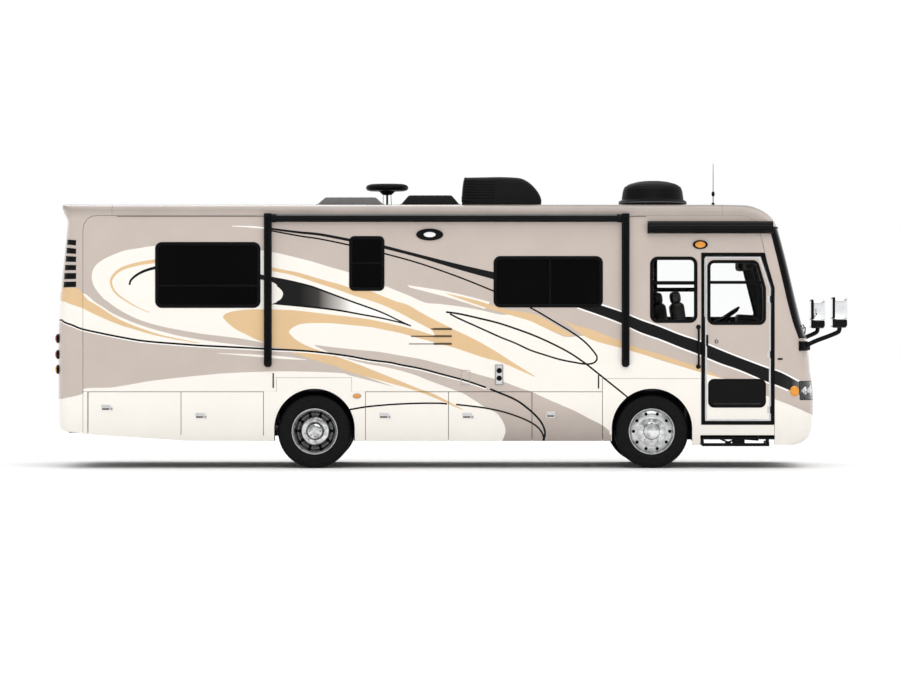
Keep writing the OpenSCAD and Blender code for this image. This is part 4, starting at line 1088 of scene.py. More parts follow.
def latch(x, z, y=-HALF_W):
    """A paddle latch: plate with a grey patch for the finger recess, the paddle over it and a round lock beside it; the
    patch's grey is painted shade under the paddle.
    """
    k = Kit()
    k.add(rbox((x - 0.075, y - 0.006, z - 0.034), (x + 0.040, y + 0.004, z + 0.044), 0.006, 3), "paint_cream")
    # grey patch proud of the plate below the paddle: painted shade standing for the finger recess
    k.add(rbox((x - 0.066, y - 0.0075, z - 0.026), (x + 0.030, y + 0.002, z + 0.010), 0.004, 2), "vent_grey")
    k.add(rbox((x - 0.070, y - 0.016, z - 0.004), (x + 0.046, y - 0.004, z + 0.038), 0.006, 3), "aluminium")
    k.add(rod((x + 0.055, y + 0.003, z - 0.012), (x + 0.055, y - 0.016, z - 0.012), 0.020, 24), "aluminium")
    k.add(rod((x + 0.055, y - 0.014, z - 0.012), (x + 0.055, y - 0.018, z - 0.012), 0.009, 16), "steel_dark")
    return k


def bay_door(d):
    g = 3.5
    outline = MM([(d[0] + g, d[2]), (d[1] - g, d[3]), (d[1] - g, 998 - 7), (d[0] + g, 998 - 7)])
    k = painted_panel(outline, (), HALF_W, DOOR_T, tuck=tuck, levels=LEVELS)
    x, z = P(d[4], d[5])
    k.join(latch(x, z, -HALF_W + tuck(z)))
    # stiffening frame on the inner face
    y = -HALF_W + DOOR_T
    for z in (0.50, 0.90):
        k.add(rbox((d[0] / 1000 + 0.08, y - 0.002, z - 0.02), (d[1] / 1000 - 0.08, y + 0.006, z + 0.02), 0.003), "aluminium")
    return k


for i, d in enumerate(BAYS, 1):
    bay_door(d).make(f"right_bay_panel_{i}", f"right_bay_door_{i}", f"right_bay_door_{i}", angle=25)
    if i > 2:
        bay_door(d).mirrored().make(f"left_bay_panel_{i}", f"left_bay_door_{i}", f"left_bay_door_{i}", angle=25)

# ---------------------------------------------------------------- windows


def loft(loops):
    """A skin through loops that have the same number of points."""
    n = len(loops[0])
    v = [tuple(p) for l in loops for p in l]
    f = [(i * n + j, i * n + (j + 1) % n, (i + 1) * n + (j + 1) % n, (i + 1) * n + j) for i in range(len(loops) - 1) for j in range(n)]
    return v, f


def at_y(loop, y):
    return [(x, y, z) for x, z in loop]


def frame_ring(w, mat="black_trim"):
    """A window frame: a proud flange outside and a sleeve through the wall."""
    y = -HALF_W
    k = Kit()
    k.add(loft([at_y(win_loop(w, 0.0), y), at_y(win_loop(w, 0.001), y - 0.005), at_y(win_loop(w, 0.005), y - 0.008), at_y(win_loop(w, 0.038), y - 0.008), at_y(win_loop(w, 0.043), y - 0.005),
                at_y(win_loop(w, 0.045), y + 0.002), at_y(win_loop(w, 0.045), y + 0.040), at_y(win_loop(w, 0.013), y + 0.040), at_y(win_loop(w, 0.013), y), at_y(win_loop(w, 0.0), y)]), mat)
    return k


def pane(loop, y0, y1, mat):
    """A flat pane with thickness."""
    v, f = mesh2([loop])
    f = [q if area2([v[i] for i in q]) > 0 else tuple(reversed(q)) for q in f]
    n = len(v)
    verts = [(p[0], y0, p[1]) for p in v] + [(p[0], y1, p[1]) for p in v]
    edges = set(e for q in f for e in zip(q, q[1:] + q[:1]))
    rim = [(j, i, i + n, j + n) for i, j in edges if (j, i) not in edges]
    return verts, f + [tuple(reversed([i + n for i in q])) for q in f] + rim


def bar(x0, x1, z0, z1, y0=-HALF_W - 0.004, y1=-HALF_W + 0.018):
    return rbox((x0, y0, z0), (x1, y1, z1), 0.003)


frames, panes = Kit(), Kit()
# Dividing bars of the first three windows
BARS = [[(-3790, -2495, 2361, 2389)], [(-1268, -883, 2654, 2680)], [(1293, 1321, 2128, 2722)]]
for i, w in enumerate(WINDOWS):
    k = frame_ring(w)
    for b in BARS[i] if i < 3 else []:
        k.add(bar(*[q / 1000 for q in b]), "black_trim")
    g = Kit()
    g.add(pane(win_loop(w, 0.046), -HALF_W + 0.010, -HALF_W + 0.016, "x"), "glass_dark" if i < 3 else "glass_clear", False)
    if i == 3:
        # cab side window: a crossbar
        za, zb = P(0, 284.7)[1], P(0, 281)[1]
        k.add(bar(2.648, 3.182, za, zb), "black_trim")
    frames.join(k)
    panes.join(g)
    if i < 3:
        frames.join(k.mirrored())
        panes.join(g.mirrored())
k = frame_ring(DRIVER_WIN)
k.add(bar(2.842, 3.440, 2.327, 2.384), "black_trim")
k.add(bar(3.425, 3.460, 1.975, 2.790), "black_trim")
frames.join(k.mirrored())
g = Kit()
g.add(pane(win_loop(DRIVER_WIN, 0.046), -HALF_W + 0.010, -HALF_W + 0.016, "x"), "glass_clear", False)
panes.join(g.mirrored())
frames.make("window_rings", COACH, "window_frames", angle=40)
panes.make("window_panes", COACH, "window_glass", angle=40)

# ---------------------------------------------------------------- entry door, its frame and glass


def door_loop(d):
    x0, x1, z0, z1 = 3.276, 4.225, 0.569, 2.799
    return [(x0 + d, z0 + d), (x1 - d, z0 + d), (x1 - d, 2.343), (x1 - 0.132 - d, z1 - d), (x0 + d, z1 - d)]


def soft_door(d, r):
    return round_poly(door_loop(d), r, 4)


y = -HALF_W
kit = Kit()
kit.add(loft([at_y(soft_door(0.0, 0.012), y + 0.045), at_y(soft_door(0.0, 0.012), y - 0.003), at_y(soft_door(0.004, 0.012), y - 0.006), at_y(soft_door(0.034, 0.012), y - 0.006),
              at_y(soft_door(0.038, 0.012), y - 0.003), at_y(soft_door(0.039, 0.012), y + 0.045), at_y(soft_door(0.0, 0.012), y + 0.045)]), "black_trim")
kit.make("door_surround", COACH, "entry_door_frame", angle=30)

LEAF = soft_door(0.046, 0.010)
yl = -1.217
kit = painted_panel(LEAF, [win_loop(DOOR_WIN, 0.012)], 1.217, 0.039, inner="cabin_trim")
# bright edging round the leaf
kit.add(loft([at_y(soft_door(0.0485, 0.010), yl + 0.002), at_y(soft_door(0.0485, 0.010), yl - 0.0012), at_y(soft_door(0.050, 0.010), yl - 0.0025), at_y(soft_door(0.070, 0.010), yl - 0.0025),
              at_y(soft_door(0.072, 0.010), yl - 0.0005), at_y(soft_door(0.072, 0.010), yl + 0.002)]), "aluminium")
# black surround of the door's window
kit.add(loft([at_y(win_loop(DOOR_WIN, 0.0), yl), at_y(win_loop(DOOR_WIN, 0.001), yl - 0.004), at_y(win_loop(DOOR_WIN, 0.005), yl - 0.007), at_y(win_loop(DOOR_WIN, 0.036), yl - 0.007),
              at_y(win_loop(DOOR_WIN, 0.042), yl - 0.003), at_y(win_loop(DOOR_WIN, 0.042), yl + 0.039), at_y(win_loop(DOOR_WIN, 0.013), yl + 0.039), at_y(win_loop(DOOR_WIN, 0.013), yl + 0.001)]), "black_trim")
za, zb = P(0, 283.9)[1], P(0, 280.8)[1]
kit.add(rbox((3.39, yl - 0.003, za), (4.078, yl + 0.028, zb), 0.003), "black_trim")
# dark lower panel
low = [3361, 4115, 788, 1163, 78]
kit.add(loft([at_y(win_loop(low, 0.0), yl), at_y(win_loop(low, 0.001), yl - 0.004), at_y(win_loop(low, 0.004), yl - 0.006), at_y(win_loop(low, 0.022), yl - 0.006), at_y(win_loop(low, 0.026), yl - 0.002)]), "black_trim")
kit.add(pane(win_loop(low, 0.024), yl - 0.0025, yl + 0.002, "x"), "black_gloss", False)
# lighter strip along the lower inner edge of the dark panel: a painted highlight where the bevel faces the light
kit.add(rbox((3.432, yl - 0.0045, 0.833), (4.044, yl - 0.001, 0.845), 0.0015, 2), "iron")
# lock and pull
x, z = P(716.5, 341.5)
kit.add(lathe([(0, 0.016), (0.012, 0.016), (0.016, 0.012), (0.018, 0.0), (0.026, -0.002), (0.028, -0.006)], 28, frame_to((x, yl - 0.004, z), (0, -1, 0))), "steel_dark")
kit.add(rbox((x - 0.004, yl - 0.024, z - 0.012), (x + 0.004, yl - 0.018, z + 0.012), 0.002), "chrome")
x = 3.352
kit.add(rbox((x - 0.016, yl - 0.014, 1.585), (x + 0.012, yl + 0.002, 1.735), 0.005, 3), "black_satin")
# hinge barrels and their plates on the front edge
for z in (0.760, 1.480, 2.200):
    for q in (-0.030, 0.0, 0.030):
        kit.add(rod((4.1825, -1.231, z + q - 0.0142), (4.1825, -1.231, z + q + 0.0142), 0.006, 16), "black_satin")
    kit.add(rod((4.1825, -1.231, z - 0.045), (4.1825, -1.231, z + 0.045), 0.0045, 12), "steel_dark")
    kit.add(rbox((4.1305, -1.2215, z - 0.044), (4.1745, -1.2165, z + 0.044), 0.002), "aluminium")
    kit.add(rbox((4.168, -1.2325, z - 0.044), (4.181, -1.2195, z + 0.044), 0.002), "black_satin")
kit.make("entry_door_leaf", "entry_door", "entry_door", angle=25)
kit = Kit()
kit.add(pane(win_loop(DOOR_WIN, 0.030), yl + 0.010, yl + 0.016, "x"), "glass_clear", False)
kit.make("entry_door_pane", "entry_door", "entry_door_glass")

# ---------------------------------------------------------------- sliding step
kit = Kit()
kit.add(rbox((3.285, -1.212, 0.292), (4.160, -0.932, 0.316), 0.005, 3), "black_satin")
for i in range(11):
    yy = -1.190 + 0.022 * i
    kit.add(rbox((3.315, yy, 0.314), (4.130, yy + 0.009, 0.3195), 0.002), "black_matt")
kit.add(rbox((3.285, -1.2125, 0.286), (4.160, -1.195, 0.328), 0.006, 3), "black_satin")
for x in (3.285, 4.134):
    kit.add(rbox((x, -1.208, 0.300), (x + 0.026, -0.640, 0.345), 0.006), "black_satin")
    kit.add(rbox((x, -1.208, 0.340), (x + 0.022, -1.170, 0.402), 0.005), "black_satin")
kit.add(rbox((3.285, -1.210, 0.378), (4.160, -1.185, 0.402), 0.005), "black_satin")
for x0, x1 in ((3.285, 3.311), (3.700, 3.850), (4.134, 4.160)):
    kit.add(rbox((x0, -0.960, 0.292), (x1, -0.932, 0.398), 0.005), "black_satin")
kit.add(rbox((3.285, -0.960, 0.374), (4.160, -0.932, 0.398), 0.005), "black_satin")
# folding links behind the front bar
for a, b in (((3.50, 0.390), (3.66, 0.325)), ((3.60, 0.330), (3.78, 0.392)), ((3.72, 0.388), (4.02, 0.368))):
    kit.add(tube([(a[0], -1.180, a[1]), (b[0], -1.180, b[1])], 0.012, 10), "black_satin")
    kit.add(rod((a[0], -1.196, a[1]), (a[0], -1.164, a[1]), 0.016, 14), "black_satin")
kit.add(rbox((3.68, -1.195, 0.318), (3.84, -1.120, 0.394), 0.008), "black_satin")
kit.make("step_assembly", "entry_step", "entry_step")

# ---------------------------------------------------------------- windscreen
NA, NR = 72, 36
a_lo, a_hi = (lambda r: screen_a(r) + 0.35), (lambda r: 180 - screen_a(r) - 0.35)
v, f = solid_patch(FRONT, a_lo, a_hi, NA, 9.03, 14.92, NR, -0.003, 0.010)
mats = []
for q in f:
    i = [k % ((NA + 1) * (NR + 1)) for k in q]
    rows_, cols_ = [k // (NA + 1) for k in i], [k % (NA + 1) for k in i]
    cmid, rmid = sum(cols_) / len(cols_) / NA, sum(rows_) / len(rows_) / NR
    edge = min(cmid, 1 - cmid)
    mats.append("black_gloss" if edge < 0.155 or rmid < 0.055 or rmid > 0.90 else "glass_screen")
kit = Kit()
kit.add((v, f), mats)
# rubber gasket round the screen and the strip down the middle
for s in (0, 1):
    path = [tuple(FRONT.at(screen_a(r) + 0.2, r, 0.001)) for r in np.linspace(9.0, 14.95, 50)]
    path += [tuple(FRONT.at(a, 14.95, 0.001)) for a in np.linspace(screen_a(14.95), 90, 24)][1:]
    low_ = [tuple(FRONT.at(a, 9.02, 0.001)) for a in np.linspace(90, screen_a(9.0), 30)][:-1]
    path = low_ + path
    if s:
        path = [(p[0], -p[1], p[2]) for p in path]
    kit.add(tube(path, 0.011, 8), "black_trim")
kit.add(tube([tuple(FRONT.at(90, r, 0.001)) for r in np.linspace(9.0, 14.95, 30)], 0.013, 8), "black_trim")
# wipers, parked along the lower edge
for s in (0, 1):
    piv = (84, 8.72)
    arm = [tuple(FRONT.at(a, r, o)) for a, r, o in ((piv[0], piv[1], 0.004), (78, 9.10, 0.030), (66, 9.45, 0.034), (58, 9.62, 0.030))]
    blade = [tuple(FRONT.at(a, r, 0.018)) for a, r in zip(np.linspace(80, 47, 22), np.linspace(9.42, 9.80, 22))]
    cap = FRONT.at(piv[0], piv[1], 0.0), FRONT.normal(piv[0], piv[1])
    k = Kit()
    k.add(tube(curve(arm, 8), 0.009, 8), "black_satin")
    k.add(tube(blade, 0.0075, 6), "black_matt")
    k.add(lathe([(0, 0.022), (0.018, 0.020), (0.024, 0.010), (0.026, -0.01)], 20, frame_to(cap[0], cap[1])), "black_satin")
    kit.join(k.mirrored() if s else k)
kit.make("windscreen_glass", COACH, "windscreen", angle=50)

# ---------------------------------------------------------------- headlamps
half = Kit()
A0, A1 = LAMP_A0 + 0.6, LAMP_A1 - 0.4
split = float(FRONT.find(np.array([P(799.8, 0)[0]]), np.array([P(0, 391)[1]]))[0][0])   # where the amber part meets the clear part
v, f = solid_patch(FRONT, split, A1, 22, 5.03, 5.97, 10, 0.004, 0.004)
half.add((v, f), "lens_clear")
rings, n = [], 32
for share, lift in ((1.06, 0.001), (1.0, 0.006), (0.85, 0.013), (0.55, 0.019), (0.25, 0.021)):
    u = np.arange(n) * 2 * math.pi / n
    aa, rr = FRONT.find((794.6 + 4.4 * share * np.cos(u) - 449.5) * S, (468.3 - 391.2 - 5.2 * share * np.sin(u)) * S)
    rings.append([tuple(FRONT.at(float(p), float(q), lift)) for p, q in zip(aa, rr)])
v = [p for q in rings for p in q]
f = [(i * n + j, i * n + (j + 1) % n, (i + 1) * n + (j + 1) % n, (i + 1) * n + j) for i in range(len(rings) - 1) for j in range(n)]
f.append(tuple((len(rings) - 1) * n + j for j in range(n)))
half.add((v, f), "lens_amber")
# surround of the amber part, painted with the body, and the housing
v, f = solid_patch(FRONT, LAMP_A0 - 0.3, split, 40, 4.985, 6.015, 40, 0.0015, 0.010)
cen = np.array([np.mean([v[i] for i in q], 0)[[0, 2]] for q in f])
mats = np.array(["paint_taupe"] * len(f), dtype=object)
for m, loop in front_shapes:
    mats[inside(cen, loop)] = m
half.add((v, f), list(mats))
v, f = solid_patch(FRONT, A0, A1, 26, 5.02, 5.98, 8, -0.030, 0.004)
half.add((v, f), "black_satin")
for a in (split, A1):
    v, f = solid_patch(FRONT, a - 0.5, a + 0.1, 1, 5.03, 5.97, 8, 0.002, 0.034)
    half.add((v, f), "black_satin")
for r in (5.03, 5.97):
    v, f = solid_patch(FRONT, split, A1, 22, r - 0.02, r + 0.02, 1, 0.001, 0.032)
    half.add((v, f), "black_satin")
for a, rad in ((37.5, 0.052), (45.5, 0.070), (51.2, 0.045)):
    c = FRONT.at(a, 5.5, -0.028)
    nn = FRONT.normal(a, 5.5) + np.array([0.8, 0, 0])
    half.add(lathe([(0, 0.002), (rad * 0.35, 0.003), (rad * 0.75, 0.010), (rad, 0.024), (rad + 0.004, 0.024), (rad + 0.004, -0.004)], 36, frame_to(c, nn)), "chrome")
    half.add(lathe([(0, 0.020), (rad * 0.18, 0.018), (rad * 0.26, 0.010), (rad * 0.26, 0.002)], 20, frame_to(c, nn)), "lens_white")
kit = Kit()
kit.join(half)
kit.join(half.mirrored())
kit.make("headlamp_units", COACH, "headlamps", angle=40)

# ---------------------------------------------------------------- tail lamps
kit = Kit()
for s in (-1, 1):
    for z, m in ((1.687, "lens_red"), (1.479, "lens_red"), (1.284, "lens_amber")):
        xf = frame_to((-5.100, s * 1.010, z), (-1, 0, 0))
        kit.add(lathe([(0.061, -0.02), (0.061, 0.022), (0.058, 0.027), (0.052, 0.028)], 40, xf), "black_gloss")
        kit.add(lathe([(0, 0.050), (0.018, 0.0488), (0.034, 0.0445), (0.046, 0.037), (0.052, 0.027), (0.052, 0.0)], 40, xf), m)
kit.make("tail_lamp_units", COACH, "tail_lamps", angle=40)

# ---------------------------------------------------------------- mirrors
half = Kit()
base = Matrix.Translation((4.632, -1.160, 1.535)) @ Matrix.Rotation(math.radians(-41), 4, "Z")
half.add(rbox((-0.030, -0.075, 0.0), (0.030, 0.075, 0.110), 0.012, 3), "black_satin", xf=base)
half.add(rbox((-0.046, -0.085, -0.008), (-0.020, 0.085, 0.118), 0.006, 2), "black_trim", xf=base)
half.add(tube(curve([(4.650, -1.170, 1.600), (4.760, -1.215, 1.655), (4.930, -1.285, 1.722), (5.035, -1.328, 1.770), (5.056, -1.335, 1.810), (5.056, -1.335, 1.840)], 8), [0.029] * 41, 14), "black_satin")
half.add(rbox((4.958, -1.463, 1.915), (5.149, -1.207, 2.222), 0.045, 5), "chrome")
half.add(rbox((4.958, -1.462, 1.828), (5.148, -1.208, 1.948), 0.040, 5), "black_gloss")
half.add(rbox((4.960, -1.4635, 1.939), (5.1495, -1.2065, 1.953), 0.005, 2), "chrome")
half.add(rbox((4.9555, -1.4645, 1.832), (4.992, -1.2055, 2.2235), 0.040, 4), "black_gloss")
half.add(pane(rrect2(-1.440, -1.230, 1.960, 2.200, 0.025), 0, 0.004, "x"), "chrome", False, Matrix(((0, 1, 0, 4.9530), (1, 0, 0, 0), (0, 0, 1, 0), (0, 0, 0, 1))))
half.add(pane(rrect2(-1.440, -1.230, 1.850, 1.945, 0.022), 0, 0.004, "x"), "chrome", False, Matrix(((0, 1, 0, 4.9530), (1, 0, 0, 0), (0, 0, 1, 0), (0, 0, 0, 1))))
half.add(rbox((4.972, -1.425, 1.826), (5.135, -1.245, 1.862), 0.014, 3), "black_satin")
kit = Kit()
kit.join(half)
kit.join(half.mirrored())
kit.make("mirror_pair", COACH, "mirrors", angle=40)

# ---------------------------------------------------------------- awnings
kit = Kit()
for x in (-2.360, 2.288):
    # arm: two nested channels with an open centre line, a head and a rounded foot
    for dx in (-0.036, 0.036):
        kit.add(rbox((x + dx - 0.014, -1.279, 1.34), (x + dx + 0.014, -1.2195, 3.312), 0.005), "black_satin")
    kit.add(rbox((x - 0.030, -1.262, 1.36), (x + 0.030, -1.226, 3.30), 0.004), "black_trim")
    kit.add(rbox((x - 0.050, -1.281, 3.255), (x + 0.050, -1.2195, 3.3148), 0.012, 3), "black_gloss")
    kit.add(rbox((x - 0.051, -1.281, 1.372), (x + 0.051, -1.2195, 1.402), 0.006), "black_gloss")
    kit.add(rbox((x - 0.044, -1.278, 1.316), (x + 0.044, -1.2195, 1.385), 0.030, 5), "black_satin")
    for z in (1.9, 2.5, 3.0):
        kit.add(rod((x, -1.262, z), (x, -1.272, z), 0.012, 14), "black_satin")
turn = frame_to((-2.3065, -1.277, 3.250), (1, 0, 0))
n = 4.541
prof = [(0, 0), (0.053, 0.0), (0.055, 0.004), (0.055, 0.052), (0.050, 0.058), (0.050, n - 0.058), (0.055, n - 0.052), (0.055, n - 0.004), (0.053, n), (0, n)]
kit.add(lathe(prof, 40, turn), "black_satin")
kit.add(rbox((-2.25, -1.331, 3.222), (2.18, -1.312, 3.236), 0.005), "black_gloss")
# grey strip along the top of the roller: a painted highlight where light falls on it
arc = [math.radians(a) for a in range(38, 111, 6)]
m = len(arc)
v = [(x, -1.277 - r * math.cos(a), 3.250 + r * math.sin(a)) for r in (0.0505, 0.0540) for x in (-2.240, 2.170) for a in arc]
f = [(2 * m + j, 3 * m + j, 3 * m + j + 1, 2 * m + j + 1) for j in range(m - 1)] + [(0, m, 3 * m, 2 * m), (m - 1, 3 * m - 1, 4 * m - 1, 2 * m - 1)]
kit.add((v, f), "vent_grey")
# flat case over the entry door
case = [(0.061, -0.055), (0.050, -0.068), (0.015, -0.082), (-0.030, -0.078), (-0.062, -0.057), (-0.080, -0.025), (-0.083, 0.008), (-0.074, 0.039), (-0.054, 0.064), (-0.020, 0.081), (0.030, 0.078), (0.061, 0.060)]
m = len(case)
x0, x1 = 2.569, 4.199
v = [(x, -1.281 + a, 3.131 + b) for x in (x0, x0 + 0.012, x0 + 0.0121, x1 - 0.0121, x1 - 0.012, x1) for a, b in [(p[0] * (0.94 if x in (x0, x1) else 1), p[1] * (0.94 if x in (x0, x1) else 1)) for p in case]]
f = [(i * m + j, i * m + (j + 1) % m, (i + 1) * m + (j + 1) % m, (i + 1) * m + j) for i in range(5) for j in range(m)] + [tuple(range(m))[::-1], tuple(range(5 * m, 6 * m))]
kit.add((v, f), "black_gloss")
kit.add(rbox((2.62, -1.362, 3.080), (4.15, -1.345, 3.090), 0.003), "black_satin")
kit.make("awning_set", COACH, "awnings", angle=35)

# ---------------------------------------------------------------- roof gear
kit = Kit()
# rear unit: a hood with a flat louvred back and a rounded nose, over a base flange
side = curve([(0.160, 3.520), (0.172, 3.700), (0.196, 3.822), (0.235, 3.828), (0.45, 3.832), (0.66, 3.836), (0.84, 3.830), (0.945, 3.818), (1.03, 3.780), (1.11, 3.715), (1.175, 3.635), (1.215, 3.555), (1.224, 3.500)], 3)
hw = 0.345


def hood(side, hw, z0):
    """A hood from its side outline, with rounded shoulders."""
    v, f = [], []
    ys = [-hw, -hw * 0.985, -hw * 0.93, -hw * 0.80, -hw * 0.4, 0, hw * 0.4, hw * 0.80, hw * 0.93, hw * 0.985, hw]
    drop = [0.80, 0.90, 0.955, 0.985, 1.0, 1.0, 1.0, 0.985, 0.955, 0.90, 0.80]
    cx = (side[0][0] + side[-1][0]) / 2
    n = len(side)
    for yy, d in zip(ys, drop):
        for x, z in side:
            e = 1 - (1 - d) * 0.25
            v.append((cx + (x - cx) * e, yy, z0 + (z - z0) * d))
    for i in range(len(ys) - 1):
        for j in range(n - 1):
            f.append((i * n + j, i * n + j + 1, (i + 1) * n + j + 1, (i + 1) * n + j))
    for i in (0, len(ys) - 1):
        c = len(v)
        v.append((cx, ys[i], z0))
        v.append((side[0][0], ys[i], z0))
        v.append((side[-1][0], ys[i], z0))
        ring = [i * n + j for j in range(n)]
        fan = [(c, b, a) for a, b in zip(ring, ring[1:])]
        f.extend(fan if i else [tuple(reversed(q)) for q in fan])
    return v, [tuple(reversed(q)) for q in f]


kit.add(hood(side, hw, 3.47), "dark_grey")
kit.add(rbox((0.165, -0.355, 3.449), (1.215, 0.355, 3.500), 0.012, 3), "black_satin")
for i in range(7):
    z = 3.545 + 0.036 * i
    kit.add(rbox((0.20, -0.3515, z), (0.60, -0.330, z + 0.016), 0.004), "black_gloss")
    kit.add(rbox((0.20, 0.330, z), (0.60, 0.3515, z + 0.016), 0.004), "black_gloss")
for i in range(6):
    z = 3.55 + 0.040 * i
    kit.add(rbox((0.158 + 0.006 * i, -0.27, z), (0.190 + 0.006 * i, 0.27, z + 0.018), 0.004), "black_gloss")
# front unit: a round stepped dome on a flange
xf = frame_to((2.711, 0, 3.449), (0, 0, 1))
kit.add(lathe([(0, 0.341), (0.12, 0.338), (0.20, 0.328), (0.30, 0.302), (0.345, 0.280), (0.352, 0.268), (0.372, 0.262), (0.386, 0.235), (0.398, 0.185), (0.407, 0.125), (0.414, 0.085), (0.442, 0.072), (0.453, 0.062), (0.454, 0.040), (0.446, 0.020), (0.430, 0.0)], 96, xf), "dark_grey")
for z, r in ((0.118, 0.4085), (0.142, 0.405), (0.166, 0.4015), (0.190, 0.3975), (0.214, 0.392)):
    kit.add(lathe([(r - 0.004, z - 0.006), (r + 0.0035, z - 0.004), (r + 0.0035, z + 0.003), (r - 0.004, z + 0.005)][::-1], 96, xf), "black_satin")
kit.add(lathe([(0.4545, 0.052), (0.4555, 0.046), (0.4545, 0.040)][::-1], 96, xf), "vent_grey")
kit.make("air_conditioner_units", COACH, "roof_air_conditioners", angle=35)

kit = Kit()
for i, (x0, x1, hw, top, m) in enumerate(((-1.769, -0.861, 0.330, 3.563, "vent_grey"), (-0.660, 0.147, 0.330, 3.590, "black_satin"))):
    kit.add(rbox((x0, -hw, 3.449), (x1, hw, 3.470), 0.008, 2), m)
    bm = bmesh.new()
    bmesh.ops.create_cube(bm, size=1)
    for q in bm.verts:
        up = q.co.z > 0
        ex, ey = (0.12, 0.085) if up else (0.012, 0.010)
        q.co = Vector(((x0 + ex) if q.co.x < 0 else (x1 - ex), (-hw + ey) if q.co.y < 0 else (hw - ey), top if up else 3.462))
    bmesh.ops.bevel(bm, geom=bm.edges[:], offset=0.022, segments=4, profile=0.5, affect="EDGES")
    bm.verts.index_update()
    kit.add(([tuple(q.co) for q in bm.verts], [tuple(q.index for q in f.verts) for f in bm.faces]), m)
    bm.free()
    for s in range(5):
        x = x0 + 0.20 + (x1 - x0 - 0.40) * s / 4
        kit.add(rbox((x - 0.010, -hw + 0.10, top - 0.008), (x + 0.010, hw - 0.10, top + 0.001), 0.003), m)
kit.make("vent_covers", COACH, "roof_vents", angle=40)

kit = Kit()
xf = frame_to((-0.841, 0.470, 3.449), (0, 0, 1))
kit.add(lathe([(0.118, 0.0), (0.118, 0.016), (0.110, 0.024), (0.062, 0.030), (0.020, 0.036), (0.014, 0.045), (0.014, 0.168), (0.066, 0.176), (0.072, 0.186), (0.104, 0.214), (0.109, 0.224), (0.236, 0.226), (0.272, 0.238), (0.284, 0.256), (0.286, 0.272),
                (0.280, 0.290), (0.262, 0.306), (0.225, 0.318), (0.12, 0.3215), (0, 0.322)][::-1], 72, xf), "black_satin")
for s in (-1, 1):
    kit.add(rod((-0.841 + s * 0.058, 0.470, 3.470), (-0.841 + s * 0.050, 0.470, 3.632), 0.006, 10), "aluminium")
xf = frame_to((3.480, -0.520, 3.4485), (0, 0, 1))
kit.add(lathe([(0.022, 0.0), (0.022, 0.018), (0.016, 0.028), (0.0062, 0.034), (0.006, 0.112), (0.014, 0.118), (0.021, 0.132), (0.022, 0.148), (0.018, 0.168), (0.008, 0.178), (0.005, 0.182), (0.0042, 0.40), (0.003, 0.549), (0, 0.5505)][::-1], 20, xf), "black_satin")
kit.make("antenna_set", COACH, "roof_antennas", angle=40)

# ---------------------------------------------------------------- small fittings on the walls
kit = Kit()
y = -HALF_W
# gutter rail along the roof seam, both sides, and the lip under it
for s in (-1, 1):
    xa, xb = P(117, 0)[0], P(646, 0)[0]
    kit.add(rbox((xa, min(s * 1.2185, s * 1.2255), 3.272), (xb, max(s * 1.2185, s * 1.2255), 3.284), 0.003), "seal_taupe")
    kit.add(rbox((xa, min(s * 1.2185, s * 1.2285), 3.284), (xb, max(s * 1.2185, s * 1.2285), 3.2885), 0.002), "aluminium")
# porch lamp, amber marker, small amber marker by the rear wheel


def oval_lamp(px, py, w, h, lens_, bezel, proud=0.022, share=0.78):
    x, z = P(px, py)
    xf = Matrix.Translation((x, y, z)) @ Matrix.Rotation(math.radians(90), 4, "X") @ Matrix.Diagonal((w * S / 2, h * S / 2, 1, 1))
    kit.add(lathe([(1.0, -0.002), (1.0, proud * 0.45), (0.96, proud * 0.62), (share + 0.02, proud * 0.72), (share, proud * 0.40)], 48, xf), bezel)
    kit.add(lathe([(0, proud), (share * 0.32, proud * 0.99), (share * 0.64, proud * 0.93), (share * 0.85, proud * 0.84), (share, proud * 0.66), (share + 0.01, proud * 0.30)], 48, xf), lens_)


oval_lamp(429.7, 234.6, 27, 12, "lens_white", "black_gloss", 0.030, 0.44)
oval_lamp(700.2, 244.6, 15, 9, "lens_amber", "black_gloss", 0.030, 0.70)
oval_lamp(357, 396, 8.6, 5, "lens_amber", "grey_plastic", 0.016)
# grab handle by the door
x = P(698.4, 0)[0]
za, zb = P(0, 366.5)[1], P(0, 327)[1]
kit.add(tube(curve([(x, y + 0.001, za), (x, y - 0.045, za + 0.012), (x, y - 0.062, za + 0.06), (x, y - 0.064, (za + zb) / 2), (x, y - 0.062, zb - 0.06), (x, y - 0.045, zb - 0.012), (x, y + 0.001, zb)], 6), 0.0145, 14), "black_satin")
for z in (za, zb):
    kit.add(lathe([(0, 0.014), (0.020, 0.013), (0.030, 0.006), (0.032, -0.002)], 28, frame_to((x, y, z), (0, -1, 0))), "black_satin")
# outlet plate
(xa, za), (xb, zb) = P(495, 385), P(503.2, 364.6)
kit.add(rbox((xa, y - 0.012, za), (xb, y + 0.002, zb), 0.008, 3), "grey_plastic")
kit.add(rbox((xa + 0.012, y - 0.020, za + 0.010), (xb - 0.012, y - 0.008, zb - 0.012), 0.007, 3), "aluminium")
for py in (370.6, 378.2):
    x, z = P(499.2, py)
    kit.add(lathe([(0.0, 0.004), (0.024, 0.003), (0.030, 0.008), (0.034, 0.008), (0.036, 0.0)], 28, frame_to((x, y - 0.019, z), (0, -1, 0))), "black_gloss")
# refrigerator vent with three slats, painted with the wall; the dark brown strips are painted shade in its slots
(xa, za), (xb, zb) = P(404, 346), P(452, 326)
for py, left in ((329.0, 431), (336.2, 411), (343.8, 409)):
    z = P(0, py)[1]
    kit.add(rbox((P(433.5, 0)[0], y - 0.008, z - 0.013), (P(451.8, 0)[0], y + 0.001, z + 0.013), 0.004), "vent_brown")
    kit.add(rbox((P(left, 0)[0], y - 0.005, z - 0.009), (P(434, 0)[0], y + 0.001, z + 0.007), 0.003), "grey_plastic" if py > 340 else "vent_brown")
